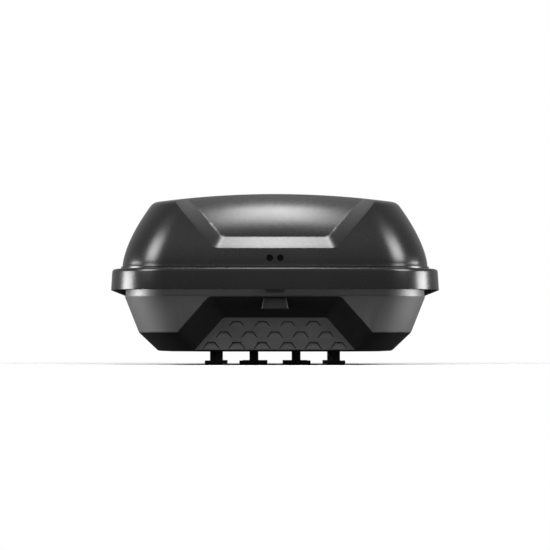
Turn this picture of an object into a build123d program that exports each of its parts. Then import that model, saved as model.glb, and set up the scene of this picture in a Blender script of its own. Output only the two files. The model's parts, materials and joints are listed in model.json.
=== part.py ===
"""Roof cargo box, opened from one side, with gas struts, a slide lock and four bar clamps.

Millimetres. X runs across the car, Y forwards, Z up. The origin is the middle of the
base's underside, which lies on the crossbars. The lid is shut and unlocked, and the
clamps are closed.
"""

import os
from math import acos, atan2, cos, degrees, hypot, radians, sin, sqrt, tan

from build123d import *

# Overall plan, measured at the foot of the lid's rim
length = 1950.0
width = 892.0
rim_corner = 150.0  # radius of the rear corners
taper_share = 0.675  # share of the length where the sides start to taper
nose_share = 0.64  # half width of the nose over half width of the box
nose_round = 0.8  # nose corner radius over the nose's half width
blend_share = 0.44  # radius where the taper starts, over the length there
rear_end, front_end = -length / 2, length / 2
side_end = width / 2
taper_turn = atan2((1 - nose_share) * side_end, (1 - taper_share) * length)
straight_start = rear_end + rim_corner
straight_end = rear_end + length * (taper_share - blend_share * tan(taper_turn / 2))
past = 75.0  # how far a cutting shape reaches past what it cuts

# Base shell
wall = 4.0
floor_side, floor_rear, floor_nose, floor_corner = 126.0, 114.0, 375.0, 96.0
crease_z, crease_side, crease_rear, crease_nose, crease_corner = 50.0, 75.0, 66.0, 255.0, 104.0
shoulder_z, shoulder_side, shoulder_nose, shoulder_corner = 148.0, 37.0, 60.0, 113.0
strip_side = 40.0  # inset of the upright strip above the shoulder
flange_side = 18.0
flange_z = 208.0
flange_thick = 4.0

# Lid shell
rim_foot_z = 164.0
rim_top_z = 222.0
rim_lean = 3.4
rim_round = 8.0
rim_wall = 3.0
bead_side = 27.0
bead_top_z = 229.0
bead_round = 2.5
dome_side = 31.0
side_lean, rear_lean, lean_power, lean_height = 75.0, 80.0, 1.55, 171.0
nose_lean, nose_power = 235.0, 1.25
dome_levels = (0.0, 33.0, 71.0, 116.0, 171.0, 236.0)  # heights above the bead
dome_corner_loss = 0.1  # corner radius lost for each mm of height
roof_peak_z = 448.0
roof_peak_y = rear_end + 675.0
roof_radius = 6050.0  # along the box
crown_radius = 2470.0  # across the box
shoulder_round = 9.0

# Recess in the lid's rear
scoop_rear_y, scoop_front_y = rear_end + 15.0, rear_end + 275.0
scoop_rear_z, scoop_front_z = 258.0, 440.0  # lower edge of the cut at those two planes
scoop_rear_half, scoop_front_half = 282.0, 193.0  # half widths at scoop_ref_z
scoop_ref_z = 389.0
scoop_flare = 0.876
scoop_corner = 34.0
scoop_floor_y, scoop_floor_z, scoop_floor_radius = rear_end + 375.0, 63.0, 378.0

# Recess and scaled panel in the base's rear
panel_head_z, panel_head_half, panel_head_y = 90.0, 139.0, rear_end + 89.0
panel_foot_half, panel_foot_y = 219.0, rear_end + 113.0
panel_corner = 6.0  # radius of the panel's upper corners
mouth_head_z, mouth_head_half = 146.0, 177.0
mouth_foot_half = 263.0  # at the crease
mouth_corner = 24.0
panel_wall = 8.0
scale_pitch = 69.0
scale_depth = 5.0
scale_top_half = 10.5
scale_rows = ((80.0, 4, 15.0, 22.5), (52.0, 5, 18.0, 23.5), (24.0, 6, 21.0, 25.0))

# Rear pocket under the rim, its pad and the centring tongue
pocket_half_top, pocket_half_foot = 33.0, 25.0
pocket_foot_z = 156.0
pocket_depth = 9.0
pad_head_z, pad_foot_z = 141.0, 112.0
pad_head_half, pad_foot_half = 30.0, 36.0
pad_face = 3.0  # how far the pad stands inside the shoulder's line
pad_chamfer = 1.6
tongue_half = 18.0
tongue_thick = 5.0
tongue_foot_z = 170.0
tongue_block_half, tongue_block_foot_z, tongue_block_top_z = 26.0, 224.0, 264.0

# Plugs over the centring screws
plug_x = 14.0
plug_z = 249.0
plug_head_dia, plug_head_thick = 18.0, 2.0
plug_stem_dia = 8.0
plug_dish = 1.0

# Seal on the flange
seal_outer, seal_inner = 25.5, 33.0  # insets from the rim's outline
seal_gap = 0.3

# Hinges on the left side
hinge_inset = 16.0  # axis inside the rim's side
hinge_x, hinge_z = hinge_inset - side_end, 204.0
hinge_ys = (straight_start + 175.0, straight_start + 600.0, straight_end - 54.0)
lid_range = 42.0
knuckle_radius = 6.0
pin_dia = 5.0
pin_head = 2.0
leaf_thick = 3.0
leaf_half = 30.0
knuckle_half = 10.0
knuckle_gap = 0.3
base_leaf_foot_z = 168.0
lid_leaf_reach = 14.8
fit = 0.05  # radial running clearance
seat = 0.3

# Rivets
rivet_dia = 4.8
rivet_head_dia = 8.4
rivet_head = 1.5
rivet_inset = 17.0
rivet_sink = 0.2  # how far a rail rivet's head lies below the rail's top

# Lock on the right side
lock_y, lock_z = straight_start + 600.0, 184.0
lock_dia = 18.0
lock_stand = 3.0  # how far the cylinder stands outside the rim
lock_face_x = side_end + lock_stand
lock_sleeve_dia = 25.0
lock_plate_dia = 36.0
lock_plate_thick = 2.0
crank_x, crank_thick = side_end - 21.0, 3.0
crank_radius = 16.0
crank_pin_dia = 5.0
crank_turn = 90.0
crank_width = 11.0
fork_gap = 0.8
rod_x, rod_thick = side_end - 12.5, 3.0
rod_foot_z, rod_top_z = 193.6, 209.0
rod_overhang = 36.0
tongue_ys = (straight_start + 175.0, lock_y - 100.0, straight_end - 84.0)
latch_tongue_wide = 24.0
latch_tongue_thick = 3.0
latch_tongue_top_z = 205.5
latch_tongue_tip_x = side_end - 24.0
striker_thick = 2.0
striker_rivet_x = side_end - strip_side + 3.6
striker_rivet_dia, striker_rivet_head_dia = 3.2, 6.2
guide_ys = (tongue_ys[0] + 90.0, tongue_ys[1] - 85.0, lock_y + 115.0, tongue_ys[2] - 90.0)
guide_wide = 16.0
guide_wall = 2.2

# Gas struts
strut_ys = (hinge_ys[0] + 90.0, hinge_ys[-1] - 90.0)
strut_foot_x, strut_foot_z = 96.0 - side_end, 60.0
strut_head_angle = 45.0  # direction from the hinge axis to the strut's upper pivot
barrel_dia, barrel_bore = 19.0, 15.0
barrel_end = 6.0
strut_rod_dia = 8.0
piston_thick = 10.0
eye_radius, eye_thick = 10.0, 8.0
stud_dia = 8.0
stud_head_dia, stud_head = 13.0, 2.0
bracket_thick = 3.0

# Roof bows
bow_ys = (strut_ys[0] + 90.0, strut_ys[1] + 110.0)
bow_wide, bow_deep, bow_wall = 54.0, 14.0, 3.0
bow_flange = 12.0
bow_half = side_end - 146.0

# Clamps and the rails that they slide on
clamp_x = 119.5
rail_half, rail_top_z = 30.0, 12.0
rail_foot_half, rail_lip_z = 22.0, 7.0
rail_rear, rail_front = rear_end + floor_rear + 216.0, front_end - floor_nose - 55.0
rail_rivet_ys = (rail_rear + 20.0, (rail_rear + rail_front) / 2, rail_front - 20.0)
clamp_slide = 90.0  # each way
clamp_ys = (rail_rear + 245.0, rail_front - 195.0)
arm_offset = 56.5
arm_wide = 20.0
slot_wide = 24.0
housing_half_x, housing_half_y = 93.0, 66.0
housing_foot_z, housing_top_z = 12.3, 58.0
housing_corner = 18.0
housing_round = 7.0
housing_wall = 3.0
rib_wall = 3.7
rib_half_length = 35.0
cheek_x = 70.0
cheek_wall = 4.0
claw_y, claw_z = 54.0, 26.0
claw_pin_dia = 6.0
claw_tube_dia = 12.0
claw_turn = 20.0
lever_length = 30.0
lever_wide = 40.0
lever_thick = 6.0
lever_end_dia = 8.0
arm_thick = 6.0
arm_face_y = 44.0
hook_top_z, hook_foot_z = -31.0, -39.0
hook_tip_y = 22.0
hook_chamfer = 5.0
inner_hook_wide, outer_hook_wide = 78.0, 50.0
head_half_x = 30.0
head_core_y = 18.0
head_lip_y = 28.0
head_lip = 3.0
groove_gap = 0.3
screw_dia = 10.0
screw_foot_z = 13.5
collar_dia, collar_thick = 20.0, 3.0
knob_dia, knob_height = 70.0, 19.0
knob_lobes = 6
knob_scallop_dia = 26.0
knob_grip_round = 3.0


# ---------------------------------------------------------------- helpers
def plan(z, side, rear=None, nose=None, corner=None):
    """Closed outline of the box at height z, set in from the rim's outline."""
    rear = side if rear is None else rear
    nose = side if nose is None else nose
    corner = rim_corner - side if corner is None else corner
    half = side_end - side
    y_rear, y_nose = rear_end + rear, front_end - nose
    run = y_nose - y_rear
    y_taper = y_rear + taper_share * run
    nose_half = nose_share * half
    right = [(half, y_rear, z), (half, y_taper, z), (nose_half, y_nose, z)]
    left = [(-x, y, h) for x, y, h in reversed(right)]
    radii = [corner, blend_share * run, nose_round * nose_half]
    return FilletPolyline(*right, *left, radius=radii + radii[::-1], close=True).wire()


def slab(z0, z1, side, nose=None, corner=None):
    """Upright block between two heights with one outline."""
    return extrude(make_face(plan(z0, side, side, nose, corner)), z1 - z0, dir=(0, 0, 1))


def block(x0, x1, y0, y1, z0, z1):
    """Box between two corners."""
    size = (abs(x1 - x0), abs(y1 - y0), abs(z1 - z0))
    return Pos((x0 + x1) / 2, (y0 + y1) / 2, (z0 + z1) / 2) * Box(*size)


def rod_along(axis, at, radius, start, end):
    """Cylinder along X, Y or Z through the point at, from start to end on that axis."""
    place = dict(zip("XYZ", at))
    place[axis] = (start + end) / 2
    turn = {"X": Rot(0, 90, 0), "Y": Rot(90, 0, 0), "Z": Rot(0, 0, 0)}[axis]
    return Pos(place["X"], place["Y"], place["Z"]) * turn * Cylinder(radius, abs(end - start))


def prism_x(points, x0, x1):
    """Outline in the YZ plane, given as (y, z), drawn out along X."""
    face = make_face(Polyline(*[(x0, y, z) for y, z in points], close=True))
    return extrude(face, x1 - x0, dir=(1, 0, 0))


def prism_y(points, y0, y1):
    """Outline in the XZ plane, given as (x, z), drawn out along Y."""
    face = make_face(Polyline(*[(x, y0, z) for x, z in points], close=True))
    return extrude(face, y1 - y0, dir=(0, 1, 0))


def rivet(axis, at, start, end, dia=rivet_dia, head_dia=rivet_head_dia):
    """Rivet with a head at each end of the grip from start to end."""
    shank = rod_along(axis, at, dia / 2, start, end)
    low = rod_along(axis, at, head_dia / 2, start - rivet_head, start)
    high = rod_along(axis, at, head_dia / 2, end, end + rivet_head)
    return shank + low + high


def rivet_hole(axis, at, start, end, dia=rivet_dia):
    return rod_along(axis, at, dia / 2 + fit, start, end)


def striker_hole(y):
    return rivet_hole("Z", (striker_rivet_x, y, 0), flange_z - 5, flange_z + 8, striker_rivet_dia)


def save(name, shape):
    """Write one sub-part, which may be a group of separate solids."""
    solids = [s for item in (shape if isinstance(shape, list) else [shape]) for s in item.solids()]
    export_step(solids[0] if len(solids) == 1 else Compound(children=solids), f"parts/{name}.step")


# ---------------------------------------------------------------- base shell
def tub(grow):
    """The base's lower body. The inner one, set in by grow, makes the wall."""
    levels = (
        (grow, floor_side, floor_rear, floor_nose, floor_corner),
        (crease_z, crease_side, crease_rear, crease_nose, crease_corner),
        (shoulder_z, shoulder_side, shoulder_side, shoulder_nose, shoulder_corner),
    )
    wires = [plan(z, s + grow, r + grow, n + grow, c - grow) for z, s, r, n, c in levels]
    return Solid.make_loft(wires, ruled=True)


def tub_room(top):
    """Space inside the base. The wall stays whole where the strip stands in or out from the tub."""
    low, high = shoulder_z - wall, shoulder_z + wall
    neck = slab(shoulder_z, high, shoulder_side + wall, shoulder_nose + wall, shoulder_corner - wall)
    around = block(-side_end, side_end, rear_end, front_end, low, high) - slab(low, high, strip_side + wall)
    return tub(wall) + neck - around + slab(high, top, strip_side + wall)


def rear_wall_y(z):
    """Rear face of the base between the crease and the shoulder."""
    share = (z - crease_z) / (shoulder_z - crease_z)
    return rear_end + crease_rear + share * (shoulder_side - crease_rear)


def panel_point(z, grow, deeper):
    """Corner of the scaled panel's outline at height z."""
    share = z / panel_head_z
    x = panel_foot_half + share * (panel_head_half - panel_foot_half)
    y = panel_foot_y + share * (panel_head_y - panel_foot_y)
    return x + grow, y + deeper, z


def mouth_point(z, grow):
    """Corner of the recess where it breaks through the rear wall, at height z."""
    share = (z - crease_z) / (mouth_head_z - crease_z)
    x = mouth_foot_half + share * (mouth_head_half - mouth_foot_half)
    return x + grow, rear_wall_y(z), z


def base_recess(grow, deeper):
    """Cut for the rear recess: the scaled panel is its floor and its sides slope outwards."""
    lift = Vector(0, 0, grow)
    head = Vector(*panel_point(panel_head_z, grow, deeper)) + lift
    foot = Vector(*panel_point(-past, grow, deeper))
    mouth_head = Vector(*mouth_point(mouth_head_z, grow)) + lift
    mouth_foot = Vector(*mouth_point(-past, grow))

    def ring(high, low, corner):
        mirrored = [Vector(-low.X, low.Y, low.Z), Vector(-high.X, high.Y, high.Z)]
        face = Face(Wire.make_polygon([high, low, *mirrored], close=True))
        return face.fillet_2d(corner + grow, face.vertices().group_by(Axis.Z)[-1]).outer_wire()

    outside = ring(mouth_head * 2 - head, mouth_foot * 2 - foot, 2 * mouth_corner - panel_corner)
    return Solid.make_loft([ring(head, foot, panel_corner), outside], ruled=True)


def panel_scales():
    """Wedge-shaped pockets in staggered rows, deep at the top edge and flush at the foot."""
    lean = atan2(panel_foot_y - panel_head_y, panel_head_z)
    face = Plane(origin=(0, panel_foot_y, 0), x_dir=(1, 0, 0), z_dir=(0, -cos(lean), -sin(lean)))
    cuts = []
    for top_z, count, tall, foot_half in scale_rows:
        outline = [(-scale_top_half, 0), (scale_top_half, 0), (foot_half, -tall), (-foot_half, -tall)]
        body = extrude(Plane.XY.offset(-scale_depth) * make_face(Polyline(*outline, close=True)), 8)
        slope = [(0, -scale_depth), (0, 3), (-tall, 3), (-tall, 0)]
        pocket = body & prism_x(slope, -foot_half, foot_half)
        for index in range(count):
            x = (index - (count - 1) / 2) * scale_pitch
            cuts.append(face * Pos(x, top_z / cos(lean), 0) * pocket)
    return cuts


def rear_pocket(grow):
    """Pocket in the strip's rear face, under the rim."""
    y_face = rear_end + strip_side
    top = flange_z + flange_thick + 5
    outline = [
        (-pocket_half_top - grow, top),
        (pocket_half_top + grow, top),
        (pocket_half_foot + grow, pocket_foot_z - grow),
        (-pocket_half_foot - grow, pocket_foot_z - grow),
    ]
    return prism_y(outline, y_face - 10, y_face + pocket_depth + grow)


def slot_places():
    xs = [side * clamp_x + arm for side in (-1, 1) for arm in (-arm_offset, arm_offset)]
    return [(x, y) for x in xs for y in clamp_ys]


def make_base_shell():
    flange_top = flange_z + flange_thick
    outer = tub(0) + slab(shoulder_z, flange_top, strip_side) + slab(flange_z, flange_top, flange_side)
    inner = tub_room(flange_top + 10)
    outer = outer - base_recess(0, 0) - rear_pocket(0)
    inner = inner - base_recess(wall, panel_wall) - rear_pocket(wall)
    shell = outer - inner - panel_scales()
    slot_length = 2 * (clamp_slide + claw_y + slot_wide / 2 + 7.0)
    for x, y in slot_places():
        shell -= Pos(x, y, -1) * extrude(SlotOverall(slot_length, slot_wide, rotation=90), wall + 2)
    shell -= hinge_notches() + latch_notches()
    shell -= [rivet_hole("X", (0, y, z), -side_end, past - side_end) for y, z in base_leaf_rivets()]
    shell -= [striker_hole(y) for y in striker_rivets()]
    shell -= [rivet_hole("Z", (x, y, 0), -1, wall + 1) for x, y in rail_rivet_places()]
    return shell


# ---------------------------------------------------------------- lid shell
def dome_wires(grow, start_z):
    wires = [plan(start_z, dome_side + grow)] if start_z < bead_top_z else []
    for rise in dome_levels:
        share = rise / lean_height
        lean = share**lean_power
        side = dome_side + grow + side_lean * lean
        rear = dome_side + grow + rear_lean * lean
        nose = dome_side + grow + nose_lean * share**nose_power
        corner = rim_corner - dome_side - grow - dome_corner_loss * rise
        wires.append(plan(bead_top_z + rise, side, rear, nose, corner))
    return wires


def crowned(x_half, z_low, z_mid, radius, y):
    """Face in an XZ plane whose top edge is a shallow arc across the box."""
    z_end = z_mid - radius + sqrt(radius**2 - x_half**2)
    left, right = (-x_half, y, z_end), (x_half, y, z_end)
    top = ThreePointArc(left, (0, y, z_mid), right)
    low = Polyline(right, (x_half, y, z_low), (-x_half, y, z_low), left)
    return make_face(Curve() + [top, low])


def roof(drop):
    """Everything under the roof's doubly curved surface."""
    face = crowned(side_end + past, rim_foot_z, roof_peak_z - drop, crown_radius - drop, roof_peak_y)
    centre = Axis((0, roof_peak_y, roof_peak_z - roof_radius), (1, 0, 0))
    return revolve(face.rotate(centre, -12), centre, 26)


def scoop(grow):
    """Cut for the recess in the lid's rear, with a rounded floor that runs out in the roof."""

    def mouth(y, low_z, half_at_ref):
        top_z = roof_peak_z + 60
        half_low = half_at_ref - scoop_flare * (scoop_ref_z - low_z) + grow
        half_top = half_at_ref + scoop_flare * (top_z - scoop_ref_z) + grow
        low_z -= grow
        points = [(half_low, y, low_z), (half_top, y, top_z), (-half_top, y, top_z), (-half_low, y, low_z)]
        face = make_face(Polyline(*points, close=True))
        corners = face.vertices().group_by(Axis.Z)[0]
        return fillet(corners, scoop_corner).face().outer_wire()

    rear = mouth(scoop_rear_y, scoop_rear_z, scoop_rear_half)
    front = mouth(scoop_front_y, scoop_front_z, scoop_front_half)
    wedge = Solid.make_loft([rear, front], ruled=True)
    reach = scoop_floor_radius - grow
    floor = crowned(side_end, scoop_floor_z, scoop_floor_z + reach, crown_radius, scoop_floor_y)
    return wedge - revolve(floor, Axis((0, scoop_floor_y, scoop_floor_z), (1, 0, 0)), 360)


def lid_cavity(grow):
    """Inside of the lid above the flange, set in by grow."""
    low = rim_top_z - flange_thick
    return (Solid.make_loft(dome_wires(grow, low - 1.0)) & roof(grow)) - scoop(grow)


def lid_outer():
    rim = Solid.make_loft([plan(rim_foot_z, 0), plan(rim_top_z, rim_lean)], ruled=True)
    rim = fillet(rim.edges().group_by(Axis.Z)[-1], rim_round)
    bead = slab(rim_top_z - 2, bead_top_z, bead_side)
    bead = fillet(bead.edges().group_by(Axis.Z)[-1], bead_round)
    dome = Solid.make_loft(dome_wires(0, rim_top_z)) & roof(0)
    dome = fillet(dome.faces().sort_by(Axis.Z)[-1].edges(), shoulder_round)
    return rim + bead + dome - scoop(0)


def plug_plane():
    """Plane on the lid's rear face at the plugs, facing outwards."""
    rise = (plug_z - bead_top_z) / lean_height
    y = rear_end + dome_side + rear_lean * rise**lean_power
    slope = rear_lean * lean_power / lean_height * rise ** (lean_power - 1)
    tilt = atan2(slope, 1)
    return Plane(origin=(0, y, plug_z), x_dir=(1, 0, 0), z_dir=(0, -cos(tilt), sin(tilt)))


def make_lid_shell():
    low = rim_top_z - flange_thick
    gap_top = plan(low, rim_wall + rim_lean * (low - rim_foot_z) / (rim_top_z - rim_foot_z))
    skirt_space = Solid.make_loft([plan(rim_foot_z, rim_wall), gap_top], ruled=True)
    skirt_space += slab(rim_foot_z - 5, rim_foot_z, rim_wall)
    shell = lid_outer() - lid_cavity(wall) - skirt_space
    shell -= plug_holes()
    shell -= rod_along("X", (0, lock_y, lock_z), lock_sleeve_dia / 2 + fit, rod_x + rod_thick, lock_face_x)
    shell -= [rivet_hole("Z", (lid_leaf_rivet_x(), y, 0), 210, 230) for y in lid_leaf_rivets()]
    return shell


# ---------------------------------------------------------------- rear fittings
def plug_stem(radius):
    """Stem of a plug, drawn inwards from the plug's plane and a little into the block behind."""
    depth = wall + 1.0
    return Pos(0, 0, -depth / 2) * Cylinder(radius, depth)


def plug_holes():
    """Countersunk holes for the plugs, open on the outside."""
    sunk = plug_head_thick + 3.0
    head = Pos(0, 0, sunk / 2 - plug_head_thick) * Cylinder(plug_head_dia / 2 + seat, sunk)
    hole = head + plug_stem(plug_stem_dia / 2 + fit)
    return [plug_plane() * Pos(x, 0, 0) * hole for x in (-plug_x, plug_x)]


def make_lid_plugs():
    dish_radius = (plug_head_dia**2 / 4 + plug_dish**2) / (2 * plug_dish)
    dish = Pos(0, 0, dish_radius - plug_dish) * Sphere(dish_radius)
    head = Pos(0, 0, -plug_head_thick / 2) * Cylinder(plug_head_dia / 2, plug_head_thick)
    plug = head + plug_stem(plug_stem_dia / 2) - dish
    return [plug_plane() * Pos(x, 0, 0) * plug for x in (-plug_x, plug_x)]


def make_rear_pad():
    """Pad on the recess's upper slope, with chamfered edges."""
    outline = [
        (-pad_head_half, pad_head_z),
        (pad_head_half, pad_head_z),
        (pad_foot_half, pad_foot_z),
        (-pad_foot_half, pad_foot_z),
    ]
    face_y = rear_end + shoulder_side + pad_face
    pad = prism_y(outline, face_y, panel_head_y)
    pad = chamfer(pad.faces().sort_by(Axis.Y)[0].edges(), pad_chamfer)
    return pad & base_recess(0, 0)


def make_centring_tongue():
    """Block behind the plugs, with a tongue that enters the rear pocket as the lid shuts."""
    inner_y = rear_end + strip_side + pocket_depth - 1
    outer_y = inner_y - tongue_thick
    half = tongue_block_half
    body = block(-half, half, rear_end, inner_y, tongue_block_foot_z, tongue_block_top_z) & lid_cavity(wall)
    blade = block(-tongue_half, tongue_half, outer_y, inner_y, tongue_foot_z, tongue_block_foot_z + 2)
    blade = chamfer(blade.faces().sort_by(Axis.Z)[0].edges(), 1.5)
    return body + blade - plug_holes()


# ---------------------------------------------------------------- rim seal
def make_rim_seal():
    foot = flange_z + flange_thick
    top = rim_top_z - flange_thick - seal_gap
    return slab(foot, top, seal_outer) - slab(foot, top, seal_inner)


# ---------------------------------------------------------------- hinges
def base_leaf_rivets():
    z = (base_leaf_foot_z + hinge_z - knuckle_radius) / 2
    return [(y, z) for y in lid_leaf_rivets()]


def lid_leaf_rivet_x():
    return hinge_x + 4.0


def lid_leaf_rivets():
    return [y + side * rivet_inset for y in hinge_ys for side in (-1, 1)]


def hinge_notches():
    inner = hinge_x + knuckle_radius + 2.0
    half = leaf_half + 4.0
    top = flange_z + flange_thick
    return [block(-side_end, inner, y - half, y + half, flange_z - 1, top + 1) for y in hinge_ys]


def knuckle(y0, y1):
    return rod_along("Y", (hinge_x, 0, hinge_z), knuckle_radius, y0, y1)


def pin_bore(y):
    return rod_along("Y", (hinge_x, 0, hinge_z), pin_dia / 2 + fit, y - leaf_half - 2, y + leaf_half + 2)


def make_base_leaf(y):
    """Angle on the strip with two knuckles."""
    face_x = strip_side - side_end
    shelf_z = hinge_z - knuckle_radius
    top = shelf_z + leaf_thick
    leaf = block(face_x - leaf_thick, face_x, y - leaf_half, y + leaf_half, base_leaf_foot_z, top)
    inner = knuckle_half + knuckle_gap
    for y0, y1 in ((y - leaf_half, y - inner), (y + inner, y + leaf_half)):
        leaf += block(hinge_x, face_x, y0, y1, shelf_z, top) + knuckle(y0, y1)
    mine = [(hy, hz) for hy, hz in base_leaf_rivets() if abs(hy - y) < leaf_half]
    return leaf - pin_bore(y) - [rivet_hole("X", (0, *at), face_x - 9, face_x + 9) for at in mine]


def make_lid_leaf(y):
    """Angle under the lid's flange with the middle knuckle."""
    under = rim_top_z - flange_thick
    outer_x = hinge_x - knuckle_radius
    plate = block(outer_x, outer_x + lid_leaf_reach, y - leaf_half, y + leaf_half, under - leaf_thick, under)
    drop = block(outer_x, outer_x + leaf_thick, y - knuckle_half, y + knuckle_half, hinge_z, under)
    leaf = plate + drop + knuckle(y - knuckle_half, y + knuckle_half)
    mine = [hy for hy in lid_leaf_rivets() if abs(hy - y) < leaf_half]
    holes = [rivet_hole("Z", (lid_leaf_rivet_x(), hy, 0), hinge_z, rim_top_z) for hy in mine]
    return leaf - pin_bore(y) - holes


def make_hinge_pin(y):
    end = y + leaf_half + 0.2
    start = y - leaf_half - 0.2
    at = (hinge_x, 0, hinge_z)
    head = rod_along("Y", at, pin_dia / 2 + 1.5, start - pin_head, start)
    tail = rod_along("Y", at, pin_dia / 2 + 1.0, end, end + pin_head)
    return rod_along("Y", at, pin_dia / 2, start, end) + head + tail


# ---------------------------------------------------------------- lock
def rod_travel():
    return 2 * crank_radius * sin(radians(crank_turn / 2))


def latch_notches():
    """Gaps in the flange that let the tongues through when the rod is unlocked."""
    half = latch_tongue_wide / 2 + 2.0
    top = flange_z + flange_thick
    inner = latch_tongue_tip_x - 1.0
    return [block(inner, side_end, y - half, y + half, flange_z - 1, top + 1) for y in tongue_ys]


def striker_span(y):
    start = y + latch_tongue_wide / 2 + 2.0
    return start, start + latch_tongue_wide + 8.0


def striker_rivets():
    return [striker_span(y)[0] + offset for y in tongue_ys for offset in (7.0, 25.0)]


def make_striker(y):
    y0, y1 = striker_span(y)
    inner_x = side_end - strip_side + seat
    plate = block(inner_x, side_end - flange_side, y0, y1, flange_z - striker_thick, flange_z)
    return plate - [striker_hole(hy) for hy in striker_rivets() if y0 < hy < y1]


def make_striker_rivet(y):
    at = (striker_rivet_x, y, 0)
    grip = (flange_z - striker_thick, flange_z + flange_thick)
    return rivet("Z", at, *grip, striker_rivet_dia, striker_rivet_head_dia)


def make_lock_cylinder():
    barrel = rod_along("X", (0, lock_y, lock_z), lock_dia / 2, crank_x + crank_thick, lock_face_x)
    keyway = block(lock_face_x - 5, lock_face_x + 1, lock_y - 0.9, lock_y + 0.9, lock_z - 4.2, lock_z + 4.2)
    barrel = chamfer(barrel.faces().sort_by(Axis.X)[-1].edges(), 0.8)
    return barrel - Pos(0, lock_y, lock_z) * Rot(crank_turn / 2, 0, 0) * Pos(0, -lock_y, -lock_z) * keyway


def make_lock_crank():
    """Arm on the cylinder's inner end, with a pin that points outwards into the rod's fork."""
    at_hub = (0, lock_y, lock_z)
    hub = rod_along("X", at_hub, crank_width / 2 + 2, crank_x, crank_x + crank_thick)
    pin_y, pin_z = lock_y, lock_z + crank_radius
    half = crank_width / 2
    arm = block(crank_x, crank_x + crank_thick, lock_y - half, lock_y + half, lock_z, pin_z)
    tip = rod_along("X", (0, pin_y, pin_z), crank_width / 2, crank_x, crank_x + crank_thick)
    pin = rod_along("X", (0, pin_y, pin_z), crank_pin_dia / 2, crank_x, rod_x + rod_thick + 0.5)
    crank = hub + arm + tip + pin
    return Pos(0, lock_y, lock_z) * Rot(crank_turn / 2, 0, 0) * Pos(0, -lock_y, -lock_z) * crank


def make_lock_rod():
    """Flat bar with a fork for the crank's pin and three tongues."""
    start, end = tongue_ys[0] - rod_overhang, tongue_ys[-1] + rod_overhang
    bar = block(rod_x, rod_x + rod_thick, start, end, rod_foot_z, rod_top_z)
    fork_y = lock_y - rod_travel() / 2
    fork_half = crank_pin_dia / 2 + fork_gap
    fork_top = lock_z + crank_radius + crank_pin_dia / 2 + 1.0
    fork = (fork_y - fork_half, fork_y + fork_half)
    bar -= block(rod_x - 1, rod_x + rod_thick + 1, *fork, rod_foot_z - 1, fork_top)
    for y in tongue_ys:
        y0, y1 = y - latch_tongue_wide / 2, y + latch_tongue_wide / 2
        low = latch_tongue_top_z - latch_tongue_thick
        bar += block(latch_tongue_tip_x, rod_x + rod_thick, y0, y1, low, latch_tongue_top_z)
    return bar


def make_lock_housing():
    """Sleeve through the rim with a round plate outside."""
    at = (0, lock_y, lock_z)
    inner_x = rod_x + rod_thick + 0.7
    outer_x = side_end
    sleeve = rod_along("X", at, lock_sleeve_dia / 2, inner_x, outer_x)
    plate = rod_along("X", at, lock_plate_dia / 2, outer_x, outer_x + lock_plate_thick)
    plate = chamfer(plate.faces().sort_by(Axis.X)[-1].edges(), 1.0)
    return sleeve + plate - rod_along("X", at, lock_dia / 2 + fit, inner_x - 1, outer_x + 5)


def skirt_inner_x(z):
    return side_end - rim_wall - rim_lean * (z - rim_foot_z) / (rim_top_z - rim_foot_z)


def make_rod_guide(y):
    """Clip on the rim's inner face that holds the rod from both sides."""
    face_x = skirt_inner_x(rod_top_z + 4)
    y0, y1 = y - guide_wide / 2, y + guide_wide / 2
    low, high = rod_foot_z - guide_wall - seat, rod_top_z + guide_wall + seat
    clip = block(rod_x - seat - guide_wall, face_x, y0, y1, low, high)
    inner, outer = rod_x - seat, rod_x + rod_thick + seat
    return clip - block(inner, outer, y0 - 1, y1 + 1, rod_foot_z - seat, rod_top_z + seat)


# ---------------------------------------------------------------- gas struts
def strut():
    """Sizes of the strut: pivots on one circle about the hinge, so it turns at half the lid's rate."""
    foot = (strut_foot_x - hinge_x, strut_foot_z - hinge_z)
    circle = hypot(*foot)
    foot_angle = atan2(foot[1], foot[0])
    head_angle = radians(strut_head_angle)
    head = (hinge_x + circle * cos(head_angle), hinge_z + circle * sin(head_angle))
    apex, turn = head_angle - foot_angle, radians(lid_range)

    def reach(opened):
        return 2 * circle * sin((apex + opened) / 2)

    rate = (reach(turn) - reach(0)) / turn
    furthest = 2 * acos(rate / circle) - apex
    slack = (reach(furthest) - reach(0) - rate * furthest) / 2
    angle = atan2(head[1] - strut_foot_z, head[0] - strut_foot_x)
    return {"head": head, "shut": reach(0), "open": reach(turn), "slack": slack, "angle": angle, "rate": rate}


def along_strut(y, shape):
    """Place a shape drawn along local X from the strut's foot."""
    return Pos(strut_foot_x, y, strut_foot_z) * Rot(0, -degrees(strut()["angle"]), 0) * shape


def strut_lengths():
    """Start and end of the barrel, measured from the foot."""
    return eye_radius + 2.0, strut()["shut"] - eye_radius - 26.0


def make_strut_barrel(y):
    start, end = strut_lengths()
    body = rod_along("X", (0, 0, 0), barrel_dia / 2, start, end)
    body = fillet(body.edges().filter_by(GeomType.CIRCLE), 2.0)
    body -= rod_along("X", (0, 0, 0), barrel_bore / 2, start + barrel_end, end - barrel_end)
    body -= rod_along("X", (0, 0, 0), strut_rod_dia / 2 + fit, end - barrel_end - 1, end + 1)
    neck = rod_along("X", (0, 0, 0), 4.0, 4.0, start + 1)
    eye = rod_along("Y", (0, 0, 0), eye_radius, -eye_thick / 2, eye_thick / 2)
    bore = rod_along("Y", (0, 0, 0), stud_dia / 2 + fit, -eye_thick, eye_thick)
    return along_strut(y, body + neck + eye - bore)


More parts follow.
